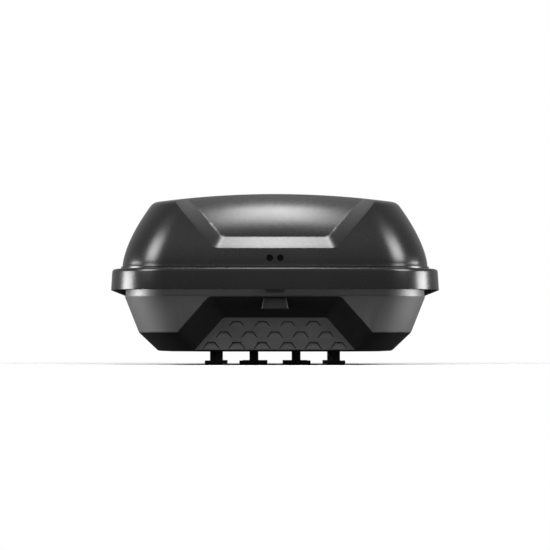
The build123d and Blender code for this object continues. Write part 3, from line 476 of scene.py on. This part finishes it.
def baseInnerSkin():  # the wall stays whole where the strip stands in or out from the tub
    sizes = baseSizes
    wall, shoulder = sizes["wall"], sizes["shoulder"]
    strip = sizes["stripSide"] + wall
    top = sizes["flangeZ"] + sizes["flangeThick"] + sizes["aboveTop"]
    low, high = shoulder[0] - wall, shoulder[0] + wall
    foot, neck = (wall, *grown(sizes["floor"], wall)[1:]), (high, *grown(shoulder, wall)[1:])
    levels = [foot, grown(sizes["crease"], wall), grown(shoulder, wall), neck]
    tub = skin("baseInside", [planRing(*level) for level in levels])
    around = (low, sizes["outside"]), (high, sizes["outside"]), (high, strip), (low, strip)
    cut(tub, loop("around", [planRing(*evenInset(*step)) for step in around]))
    upper = [planRing(*evenInset(z, strip)) for z in (high - sizes["margin"], top)]
    return cut(tub, skin("upperRoom", upper), "UNION")


recessSizes = {
    "headZ": 0.090, "headHalf": 0.139, "headY": -0.886, "footHalf": 0.219, "footY": -0.862,
    "mouthHeadZ": 0.146, "mouthHeadHalf": 0.177, "mouthFootHalf": 0.263, "panelWall": 0.008,
    "panelCorner": 0.020, "mouthCorner": 0.022, "below": -0.030,
    "shares": (0, 1, 1.6),  # the panel, the mouth and a plane outside it
    "arcSteps": (10, 10, 1, 1), "lineSteps": (24, 10, 24, 10), "panelTurn": 0.93, "panelRearY": -0.905,
    "edgeBevel": 0.0012, "edgeSteps": 3, "edgeAngle": 27,
    "edgeFrontY": -0.85, "edgeHalf": 0.3, "edgeLowZ": 0.002, "edgeHighZ": 0.1478,
}
scaleSizes = {
    "pitch": 0.069, "depth": 0.005, "topHalf": 0.0105, "paintedShadowWidth": 0.003, "out": 0.003, "lip": 0.0003,
    "floorTurn": 0.8, "footReach": 0.004,
    # each row's top, count, height and half width at the foot
    "rows": ((0.080, 4, 0.015, 0.0225), (0.052, 5, 0.018, 0.0235), (0.024, 6, 0.021, 0.025)),
}


def rearWallY(z):
    low, high = baseSizes["crease"], baseSizes["shoulder"]
    share = (z - low[0]) / (high[0] - low[0])
    return low[2] - boxPlan["length"] / 2 + share * (high[2] - low[2])


def recessCutter(grow, deeper, walls, floor):
    sizes = recessSizes
    rings = []
    for share in sizes["shares"]:
        outline = []
        below, crease = sizes["below"], baseSizes["crease"][0]
        for z, mouthZ, lift in ((sizes["headZ"], sizes["mouthHeadZ"], grow), (below, below, 0)):
            panelX = sizes["footHalf"] + z / sizes["headZ"] * (sizes["headHalf"] - sizes["footHalf"])
            panelY = sizes["footY"] + z / sizes["headZ"] * (sizes["headY"] - sizes["footY"])
            rise = (mouthZ - crease) / (sizes["mouthHeadZ"] - crease)
            mouthX = sizes["mouthFootHalf"] + rise * (sizes["mouthHeadHalf"] - sizes["mouthFootHalf"])
            panel = Vector((panelX + grow, panelY + deeper, z + lift))
            mouth = Vector((mouthX + grow, rearWallY(mouthZ), mouthZ + lift))
            outline.append(panel.lerp(mouth, share))
        high, low = outline
        runY, runZ = high.y - low.y, high.z - low.z
        tall = math.hypot(runY, runZ)
        flat = (high.x, tall), (-high.x, tall), (-low.x, 0), (low.x, 0)
        flat = [Vector(corner) for corner in flat]
        radius = sizes["panelCorner"] + share * (sizes["mouthCorner"] - sizes["panelCorner"]) + grow
        radii = [radius, radius, toolSizes["keenCorner"], toolSizes["keenCorner"]]
        ring = []
        for v in roundedOutline(flat, radii, sizes["arcSteps"], sizes["lineSteps"]):
            ring.append(Vector((v.x, low.y + runY * v.y / tall, low.z + runZ * v.y / tall)))
        rings.append(ring)
    piece = wear(skin("recess", rings), walls, floor)
    rearY = sizes["panelRearY"] + deeper
    for face in piece.data.polygons:
        onPanel = abs(face.normal.y) > sizes["panelTurn"] and face.center.y > rearY
        face.material_index = 1 if onPanel else 0
    return piece


def paintedShadowLines(scales):  # painted shadow: a dark band along the top and sides of each scale's floor, standing for the shaded groove under the scale's top
    sizes = scaleSizes
    onlyActive(scales)
    bpy.ops.object.mode_set(mode="EDIT")
    bpy.ops.mesh.select_mode(type="FACE")
    bpy.ops.mesh.select_all(action="DESELECT")
    bpy.ops.object.mode_set(mode="OBJECT")
    # the scale's walls take the darker colour as painted shade
    for side in scales.data.polygons:
        side.select = side.normal.y > sizes["floorTurn"]
        side.material_index = 0 if side.select else 1
    bpy.ops.object.mode_set(mode="EDIT")
    bpy.ops.mesh.inset(thickness=sizes["paintedShadowWidth"], use_individual=True)
    bpy.ops.mesh.select_mode(type="VERT")
    bpy.ops.object.mode_set(mode="OBJECT")
    floors = [side.center.copy() for side in scales.data.polygons if side.select]
    # the inset ring's top and sides take the darker colour as painted shadow, its foot keeps the
    # panel's colour
    for side in scales.data.polygons:
        if side.normal.y > sizes["floorTurn"] and not side.select:
            near = min(floors, key=lambda at: (at - side.center).length)
            atFoot = side.center.z < near.z and abs(side.center.x - near.x) < sizes["footReach"]
            side.material_index = 0 if atFoot else 1
    return scales


def scaleCutters(face, wall):  # a scale's sloping floor takes the panel's colour, its walls and a band round the floor's top take the darker colour as painted shade
    sizes, panel = scaleSizes, recessSizes
    lean = math.atan2(panel["footY"] - panel["headY"], panel["headZ"])
    top, depth, out, lip = sizes["topHalf"], sizes["depth"], sizes["out"], sizes["lip"]
    pieces = []
    for topZ, count, tall, footHalf in sizes["rows"]:
        for index in range(count):
            x = (index - (count - 1) / 2) * sizes["pitch"]
            deselectAll()
            bpy.ops.mesh.primitive_cube_add(size=1)
            piece = bpy.context.object
            spots = {
                (-1, -1, -1): (-footHalf, -tall, lip), (1, -1, -1): (footHalf, -tall, lip),
                (-1, 1, -1): (-top, 0.0, -depth), (1, 1, -1): (top, 0.0, -depth),
                (-1, -1, 1): (-footHalf, -tall, out), (1, -1, 1): (footHalf, -tall, out),
                (-1, 1, 1): (-top, 0.0, out), (1, 1, 1): (top, 0.0, out),
            }
            for vertex in piece.data.vertices:
                vertex.co = spots[tuple(1 if c > 0 else -1 for c in vertex.co)]
            foot = Matrix.Translation((x, panel["footY"], 0))
            place = foot @ Matrix.Rotation(math.pi / 2 + lean, 4, "X")
            place = place @ Matrix.Translation((0, topZ / math.cos(lean), 0))
            piece.data.transform(place)
            pieces.append(piece)
    return paintedShadowLines(wear(joined("scales", pieces), face, wall))


pocketSizes = {
    "halfTop": 0.033, "halfFoot": 0.025, "footZ": 0.156, "halfwayZ": 0.2, "topZ": 0.217,
    "depth": 0.009, "out": 0.010,
}


def pocketCutter(grow):
    sizes = pocketSizes
    yFace = baseSizes["stripSide"] - boxPlan["length"] / 2
    low = (-1, yFace - sizes["out"], sizes["footZ"] - grow)
    piece = block("pocket", low, (1, yFace + sizes["depth"] + grow, sizes["topZ"]))
    for vertex in piece.data.vertices:
        half = sizes["halfTop"] if vertex.co.z > sizes["halfwayZ"] else sizes["halfFoot"]
        vertex.co.x = math.copysign(half + grow, vertex.co.x)
    return piece


slotSizes = {
    "x": 0.1195, "ys": (-0.400, 0.350), "arm": 0.0565,
    "half": 0.163, "radius": 0.012, "low": -0.004, "high": 0.008, "sides": 40,
}


def slotCutters():
    sizes = slotSizes
    radius, pieces = sizes["radius"], []
    for side in (-1, 1):
        for arm in (-sizes["arm"], sizes["arm"]):
            for y in sizes["ys"]:
                at = (side * sizes["x"] + arm, y, 0)
                piece = rod("slot", "Z", at, radius, sizes["low"], sizes["high"], sizes["sides"])
                for vertex in piece.data.vertices:
                    vertex.co.y += math.copysign(sizes["half"] - radius, vertex.co.y - y)
                pieces.append(piece)
    return joined("slots", pieces)


gapSizes = {  # each kind's y of the middles, then its two sides' x and half its length
    "hingeYs": (-0.650, -0.225, 0.18025), "hinge": (-0.446, -0.422, 0.034),
    "tongueYs": (-0.650, -0.325, 0.15025), "tongue": (0.421, 0.446, 0.014),
    "lowZ": 0.207, "highZ": 0.213,
}


def gapCutters(name):
    sizes, pieces = gapSizes, []
    left, right, half = sizes[name]
    for y in sizes[name + "Ys"]:
        low, high = (left, y - half, sizes["lowZ"]), (right, y + half, sizes["highZ"])
        pieces.append(block(name + "Gap", low, high))
    return pieces


def onRecess(at):  # true near the edges of the rear recess
    sizes = recessSizes
    if not sizes["edgeLowZ"] < at.z < sizes["edgeHighZ"]:
        return False
    return at.y < sizes["edgeFrontY"] and abs(at.x) < sizes["edgeHalf"]


def makeBaseShell(outside, black, panel, inside):
    sizes = recessSizes
    outer = wear(baseOuterSkin(), outside, black, panel, inside)
    tidyMesh(cut(outer, recessCutter(0.0, 0.0, black, panel)))
    for face in outer.data.polygons:
        if face.material_index == 0 and face.center.z < baseSizes["crease"][0] - baseSizes["margin"]:
            face.material_index = 1
    bevelEdges(outer, sizes["edgeBevel"], sizes["edgeSteps"], sizes["edgeAngle"], onRecess)
    tidyMesh(cut(outer, wear(pocketCutter(0.0), outside)))
    inner = wear(baseInnerSkin(), inside)
    cut(inner, recessCutter(baseSizes["wall"], sizes["panelWall"], inside, inside))
    cut(inner, wear(pocketCutter(baseSizes["wall"]), inside))
    cut(outer, tidyMesh(inner))
    # the scales' walls and bands take the black finish as painted shade
    cut(outer, scaleCutters(panel, black))
    cut(outer, wear(slotCutters(), inside))
    cut(outer, wear(joined("gaps", gapCutters("hinge") + gapCutters("tongue")), inside))
    return smoothShade(tidyMesh(outer), baseSizes["shadeAngle"])


grainSizes = {
    "noiseLow": 0.3, "noiseHigh": 0.7, "grainShare": 0.35, "cloudShare": 0.65, "crystalShare": 0.3,
    "grainDetail": 2.0, "cloudDetail": 4.0, "lineDetail": 3.0, "metalDepth": 0.0001,
}


def nodeGroup(name, scales):  # every finish takes two tones and two sheens besides its scales
    group = bpy.data.node_groups.new(name, "ShaderNodeTree")
    inputs = [("Dark", "Color"), ("Light", "Color"), ("Smooth", "Float"), ("Rough", "Float"), *scales]
    for label, kind in inputs:
        group.interface.new_socket(label, in_out="INPUT", socket_type="NodeSocket" + kind)
    for label, kind in (("Color", "Color"), ("Roughness", "Float"), ("Height", "Float")):
        group.interface.new_socket(label, in_out="OUTPUT", socket_type="NodeSocket" + kind)
    return group, group.nodes.new("NodeGroupInput"), group.nodes.new("NodeGroupOutput")


def noise(tree, place, detail):
    node = tree.nodes.new("ShaderNodeTexNoise")
    node.inputs["Detail"].default_value = detail
    tree.links.new(place, node.inputs["Vector"])
    return node


def maths(tree, operation, value, factor, added=None):
    node = tree.nodes.new("ShaderNodeMath")
    node.operation = operation
    node.inputs[1].default_value = factor
    tree.links.new(value, node.inputs[0])
    if added:
        tree.links.new(added, node.inputs[2])
    return node.outputs["Value"]


def spread(tree, value, low, high):  # a noise value, stretched between two others
    node = tree.nodes.new("ShaderNodeMapRange")
    node.inputs["From Min"].default_value = grainSizes["noiseLow"]
    node.inputs["From Max"].default_value = grainSizes["noiseHigh"]
    tree.links.new(value, node.inputs["Value"])
    for socket, source in (("To Min", low), ("To Max", high)):
        if isinstance(source, float):
            node.inputs[socket].default_value = source
        else:
            tree.links.new(source, node.inputs[socket])
    return node.outputs["Result"]


def toneAndSheen(group, given, made, value, height):
    tone = group.nodes.new("ShaderNodeMix")
    tone.data_type = "RGBA"
    group.links.new(spread(group, value, 0.0, 1.0), tone.inputs["Factor"])
    group.links.new(given.outputs["Dark"], tone.inputs["A"])
    group.links.new(given.outputs["Light"], tone.inputs["B"])
    group.links.new(tone.outputs["Result"], made.inputs["Color"])
    sheen = spread(group, value, given.outputs["Smooth"], given.outputs["Rough"])
    group.links.new(sheen, made.inputs["Roughness"])
    group.links.new(height, made.inputs["Height"])
    return group


def makeMouldGrain():  # pebbled skin of a moulding, with cloudy tone and sheen
    scales = [("Grain Scale", "Float"), ("Cloud Scale", "Float")]
    group, given, made = nodeGroup("mouldGrain", scales)
    place = group.nodes.new("ShaderNodeTexCoord").outputs["Object"]
    grain = noise(group, place, grainSizes["grainDetail"])
    cloud = noise(group, place, grainSizes["cloudDetail"])
    group.links.new(given.outputs["Grain Scale"], grain.inputs["Scale"])
    group.links.new(given.outputs["Cloud Scale"], cloud.inputs["Scale"])
    soft = maths(group, "MULTIPLY", cloud.outputs["Fac"], grainSizes["cloudShare"])
    both = maths(group, "MULTIPLY_ADD", grain.outputs["Fac"], grainSizes["grainShare"], soft)
    return toneAndSheen(group, given, made, both, grain.outputs["Fac"])


def makeMetalSkin():  # fine drawn lines or crystals, stretched along one axis
    scales = [("Line Scale", "Vector"), ("Crystal Scale", "Float")]
    group, given, made = nodeGroup("metalSkin", scales)
    place = group.nodes.new("ShaderNodeTexCoord").outputs["Object"]
    drawn = group.nodes.new("ShaderNodeVectorMath")
    drawn.operation = "MULTIPLY"
    group.links.new(place, drawn.inputs[0])
    group.links.new(given.outputs["Line Scale"], drawn.inputs[1])
    lines = noise(group, drawn.outputs["Vector"], grainSizes["lineDetail"])
    lines.inputs["Scale"].default_value = 1.0
    crystals = group.nodes.new("ShaderNodeTexVoronoi")
    group.links.new(place, crystals.inputs["Vector"])
    group.links.new(given.outputs["Crystal Scale"], crystals.inputs["Scale"])
    share = grainSizes["crystalShare"]
    both = maths(group, "MULTIPLY_ADD", crystals.outputs["Distance"], share, lines.outputs["Fac"])
    return toneAndSheen(group, given, made, both, lines.outputs["Fac"])


def finish(name, group, values, bump, depth, **sockets):
    material = bpy.data.materials.new(name)
    material.use_nodes = True
    tree = material.node_tree
    shader = tree.nodes["Principled BSDF"]
    for socket, value in sockets.items():
        shader.inputs[socket.replace("_", " ")].default_value = value
    skinNode = tree.nodes.new("ShaderNodeGroup")
    skinNode.node_tree = group
    for socket, value in values.items():
        skinNode.inputs[socket].default_value = value
    relief = tree.nodes.new("ShaderNodeBump")
    relief.inputs["Strength"].default_value = bump
    relief.inputs["Distance"].default_value = depth
    tree.links.new(skinNode.outputs["Color"], shader.inputs["Base Color"])
    tree.links.new(skinNode.outputs["Roughness"], shader.inputs["Roughness"])
    tree.links.new(skinNode.outputs["Height"], relief.inputs["Height"])
    tree.links.new(relief.outputs["Normal"], shader.inputs["Normal"])
    return material


def grey(level, tint=0.0):  # tint above 0 is cooler
    return (level * (1 - tint), level, level * (1 + tint), 1)


def plastic(name, dark, light, smooth, rough, grain, cloud, bump, depth, **sockets):
    values = {"Dark": grey(dark), "Light": grey(light), "Smooth": smooth, "Rough": rough}
    values |= {"Grain Scale": grain, "Cloud Scale": cloud}
    return finish(name, mouldGrain, values, bump, depth, **sockets)


def metal(name, dark, light, tint, smooth, rough, lines, crystals, bump):
    values = {"Dark": grey(dark, tint), "Light": grey(light, tint), "Smooth": smooth, "Rough": rough}
    values |= {"Line Scale": lines, "Crystal Scale": crystals}
    return finish(name, metalSkin, values, bump, grainSizes["metalDepth"], Metallic=1.0)


plastics = {  # two tones, two sheens, scales of grain and cloud, bump and its depth
    "lidGloss": (0.0085, 0.0100, 0.25, 0.30, 900.0, 5.0, 0.06, 0.0002),
    "baseSatin": (0.021, 0.029, 0.46, 0.58, 420.0, 9.0, 0.22, 0.0004),
    "grainBlack": (0.0012, 0.0020, 0.50, 0.64, 500.0, 12.0, 0.25, 0.0004),
    "panelGrey": (0.014, 0.021, 0.45, 0.58, 450.0, 12.0, 0.2, 0.0004),
    "insideAbs": (0.010, 0.014, 0.42, 0.55, 260.0, 6.0, 0.3, 0.0005),
    "trimBlack": (0.008, 0.012, 0.38, 0.50, 700.0, 20.0, 0.15, 0.0003),
    # near-black and barely reflecting: the plugs' own black, deepened with painted shade as of open
    # holes
    "plugBlackHoleShade": (0.0004, 0.0008, 0.6, 0.75, 700.0, 20.0, 0.1, 0.0002),
    "sealRubber": (0.006, 0.010, 0.65, 0.80, 500.0, 30.0, 0.15, 0.0003),
    "clampBlack": (0.010, 0.014, 0.36, 0.48, 600.0, 25.0, 0.2, 0.0004),
    "knobGrey": (0.11, 0.14, 0.40, 0.52, 600.0, 25.0, 0.2, 0.0004),
    "strutBlack": (0.007, 0.010, 0.22, 0.30, 1200.0, 40.0, 0.05, 0.0001),
    "bowSteel": (0.012, 0.018, 0.34, 0.46, 900.0, 20.0, 0.12, 0.0002),
    "clawSteel": (0.013, 0.020, 0.36, 0.50, 800.0, 30.0, 0.15, 0.0002),
}
extras = {
    "grainBlack": {"Specular_IOR_Level": 0.12}, "plugBlackHoleShade": {"Specular_IOR_Level": 0.03},
    "sealRubber": {"Specular_IOR_Level": 0.35}, "clawSteel": {"Metallic": 0.3},
}
metals = {  # two tones, tint, two sheens, scales of lines and crystals, bump
    "railAluminium": (0.50, 0.62, 0.01, 0.28, 0.42, (900.0, 12.0, 900.0), 60.0, 0.1),
    "rivetAluminium": (0.52, 0.66, 0.01, 0.30, 0.45, (300.0, 300.0, 300.0), 200.0, 0.1),
    "zincSteel": (0.38, 0.55, 0.03, 0.32, 0.52, (60.0, 60.0, 60.0), 220.0, 0.1),
    "chrome": (0.58, 0.66, 0.01, 0.07, 0.13, (150.0, 150.0, 150.0), 80.0, 0.02),
}
mouldGrain, metalSkin = makeMouldGrain(), makeMetalSkin()
finishes = {name: plastic(name, *row, **extras.get(name, {})) for name, row in plastics.items()}
finishes |= {name: metal(name, *row) for name, row in metals.items()}
nodeFinishes = {
    "lid_shell": "lidGloss", "base_shell": "baseSatin", "trim_black": "trimBlack",
    "seal_rubber": "sealRubber", "rail_aluminium": "railAluminium", "zinc_steel": "zincSteel",
    "rivet_aluminium": "rivetAluminium", "bow_steel": "bowSteel", "claw_steel": "clawSteel",
    "lock_chrome": "chrome", "rod_chrome": "chrome", "strut_black": "strutBlack",
    "clamp_black": "clampBlack", "knob_grey": "knobGrey",
}


def dressNodes():
    for part in frame["record"]["subparts"]:
        wear(frame["nodes"][part["node"]], finishes[nodeFinishes[part["material_slot"]]])
    # the plugs take the near-black finish: their own black deepened with painted shade
    wear(frame["nodes"]["lid_plugs"], finishes["plugBlackHoleShade"])


studio = {
    "floorZ": -0.0395, "floorSize": 60, "floorColor": (0.8, 0.8, 0.8, 1), "floorFade": (1.2, 2.6),
    "floorSeen": (0.10, 0.10, 0.10, 1),
    "around": 0.4, "ahead": 0.45, "behind": 0.05, "skyFrom": -0.15, "skyTo": 0.75,
    # each light's place, target, width, height, watts and spread in degrees
    "low": ((4.6, -1.2, 0.55), (0.4, -0.85, 0.2), 2.0, 1.2, 170, 180),
    "high": ((2.6, -3.4, 2.9), (0.35, -0.93, 0.26), 2.0, 3.0, 38, 68),
    "top": ((0, 0.02, 2.93), (0, -0.92, 0.30), 0.46, 1.1, 21, 180),
    "kick": ((2.3, -1.3, 0.07), (0.33, -0.85, 0.10), 1.4, 0.2, 112, 180),
    "cameraPlace": (0, -7.975, -0.013), "cameraTilt": 1.757, "lens": 172, "sensor": 36, "clipEnd": 200,
}


def makeWorld():
    world = bpy.data.worlds.new("studio")
    bpy.context.scene.world = world
    world.use_nodes = True
    nodes, links = world.node_tree.nodes, world.node_tree.links
    nodes.clear()
    place = nodes.new("ShaderNodeTexCoord")
    split = nodes.new("ShaderNodeSeparateXYZ")
    ramp = nodes.new("ShaderNodeMapRange")  # dark where the camera stands, lighter beyond the box
    ramp.interpolation_type = "SMOOTHSTEP"
    ends = {"From Min": "skyFrom", "From Max": "skyTo", "To Min": "behind", "To Max": "ahead"}
    for socket, size in ends.items():
        ramp.inputs[socket].default_value = studio[size]
    path = nodes.new("ShaderNodeLightPath")
    gloss = nodes.new("ShaderNodeMix")
    gloss.inputs["A"].default_value = studio["around"]
    seen = nodes.new("ShaderNodeMix")
    seen.inputs["B"].default_value = 1.0
    sky = nodes.new("ShaderNodeBackground")
    sky.inputs["Color"].default_value = (1, 1, 1, 1)
    out = nodes.new("ShaderNodeOutputWorld")
    links.new(place.outputs["Generated"], split.inputs["Vector"])
    links.new(split.outputs["Y"], ramp.inputs["Value"])
    links.new(path.outputs["Is Glossy Ray"], gloss.inputs["Factor"])
    links.new(ramp.outputs["Result"], gloss.inputs["B"])
    links.new(path.outputs["Is Camera Ray"], seen.inputs["Factor"])
    links.new(gloss.outputs["Result"], seen.inputs["A"])
    links.new(seen.outputs["Result"], sky.inputs["Strength"])
    links.new(sky.outputs["Background"], out.inputs["Surface"])


def floorPaint():  # pale and matt near the box, fading to plain white far off
    material = bpy.data.materials.new("floorPaint")
    material.use_nodes = True
    nodes, links = material.node_tree.nodes, material.node_tree.links
    shader = nodes["Principled BSDF"]
    shader.inputs["Base Color"].default_value = studio["floorColor"]
    shader.inputs["Roughness"].default_value = 1.0
    shader.inputs["Specular IOR Level"].default_value = 0.0
    place = nodes.new("ShaderNodeTexCoord")
    far = nodes.new("ShaderNodeVectorMath")
    far.operation = "LENGTH"
    fade = nodes.new("ShaderNodeMapRange")
    fade.interpolation_type = "SMOOTHSTEP"
    fade.inputs["From Min"].default_value, fade.inputs["From Max"].default_value = studio["floorFade"]
    path = nodes.new("ShaderNodeLightPath")
    glow = nodes.new("ShaderNodeEmission")
    dim = nodes.new("ShaderNodeBsdfDiffuse")  # what lights the box from below, so it stays dark there
    dim.inputs["Color"].default_value = studio["floorSeen"]
    near, seen = nodes.new("ShaderNodeMixShader"), nodes.new("ShaderNodeMixShader")
    links.new(place.outputs["Object"], far.inputs[0])
    links.new(far.outputs["Value"], fade.inputs["Value"])
    links.new(fade.outputs["Result"], near.inputs["Fac"])
    links.new(shader.outputs["BSDF"], near.inputs[1])
    links.new(glow.outputs["Emission"], near.inputs[2])
    links.new(path.outputs["Is Camera Ray"], seen.inputs["Fac"])
    links.new(dim.outputs["BSDF"], seen.inputs[1])
    links.new(near.outputs["Shader"], seen.inputs[2])
    links.new(seen.outputs["Shader"], nodes["Material Output"].inputs["Surface"])
    return material


def softbox(name, at, target, wide, tall, power, opening):
    light = bpy.data.lights.new(name, "AREA")
    light.shape = "RECTANGLE"
    light.size, light.size_y, light.energy, light.spread = wide, tall, power, math.radians(opening)
    holder = bpy.data.objects.new(name, light)
    bpy.context.scene.collection.objects.link(holder)
    holder.location = at
    holder.rotation_euler = (Vector(target) - Vector(at)).to_track_quat("-Z", "Y").to_euler()
    holder.visible_camera = False
    return holder


def lightPair(name, at, target, *form):  # the same light on the left and on the right
    pair = []
    for side, label in ((-1, "left"), (1, "right")):
        ends = [(side * x, y, z) for x, y, z in (at, target)]
        pair.append(softbox(label + name, *ends, *form))
    return pair


def makeStudio():
    deselectAll()
    bpy.ops.mesh.primitive_plane_add(size=studio["floorSize"], location=(0, 0, studio["floorZ"]))
    floor = settle(bpy.context.object)
    floor.name = "floor"
    wear(floor, floorPaint())
    makeWorld()
    lightPair("Low", *studio["low"])
    lightPair("High", *studio["high"])
    softbox("topBox", *studio["top"])
    lit = bpy.data.collections.new("lowLit")  # the kicks light the base alone
    lit.objects.link(baseShell)
    for kick in lightPair("Kick", *studio["kick"]):
        kick.light_linking.receiver_collection = lit
    camera = bpy.data.cameras.new("camera")
    camera.lens, camera.sensor_width = studio["lens"], studio["sensor"]
    camera.clip_end = studio["clipEnd"]
    holder = bpy.data.objects.new("camera", camera)
    bpy.context.scene.collection.objects.link(holder)
    holder.location = studio["cameraPlace"]
    holder.rotation_euler = (math.radians(90 + studio["cameraTilt"]), 0, 0)
    bpy.context.scene.camera = holder
    bpy.context.scene.view_settings.view_transform = "Standard"


dressNodes()
lidShell = makeLidShell(finishes["lidGloss"], finishes["insideAbs"])
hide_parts("lid_shell")
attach(lidShell, "lid")
print("lid shell,", len(lidShell.data.polygons), "faces")

baseLooks = [finishes[name] for name in ("baseSatin", "grainBlack", "panelGrey", "insideAbs")]
baseShell = makeBaseShell(*baseLooks)
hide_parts("base_shell")
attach(baseShell, "base")
print("base shell,", len(baseShell.data.polygons), "faces")

makeStudio()
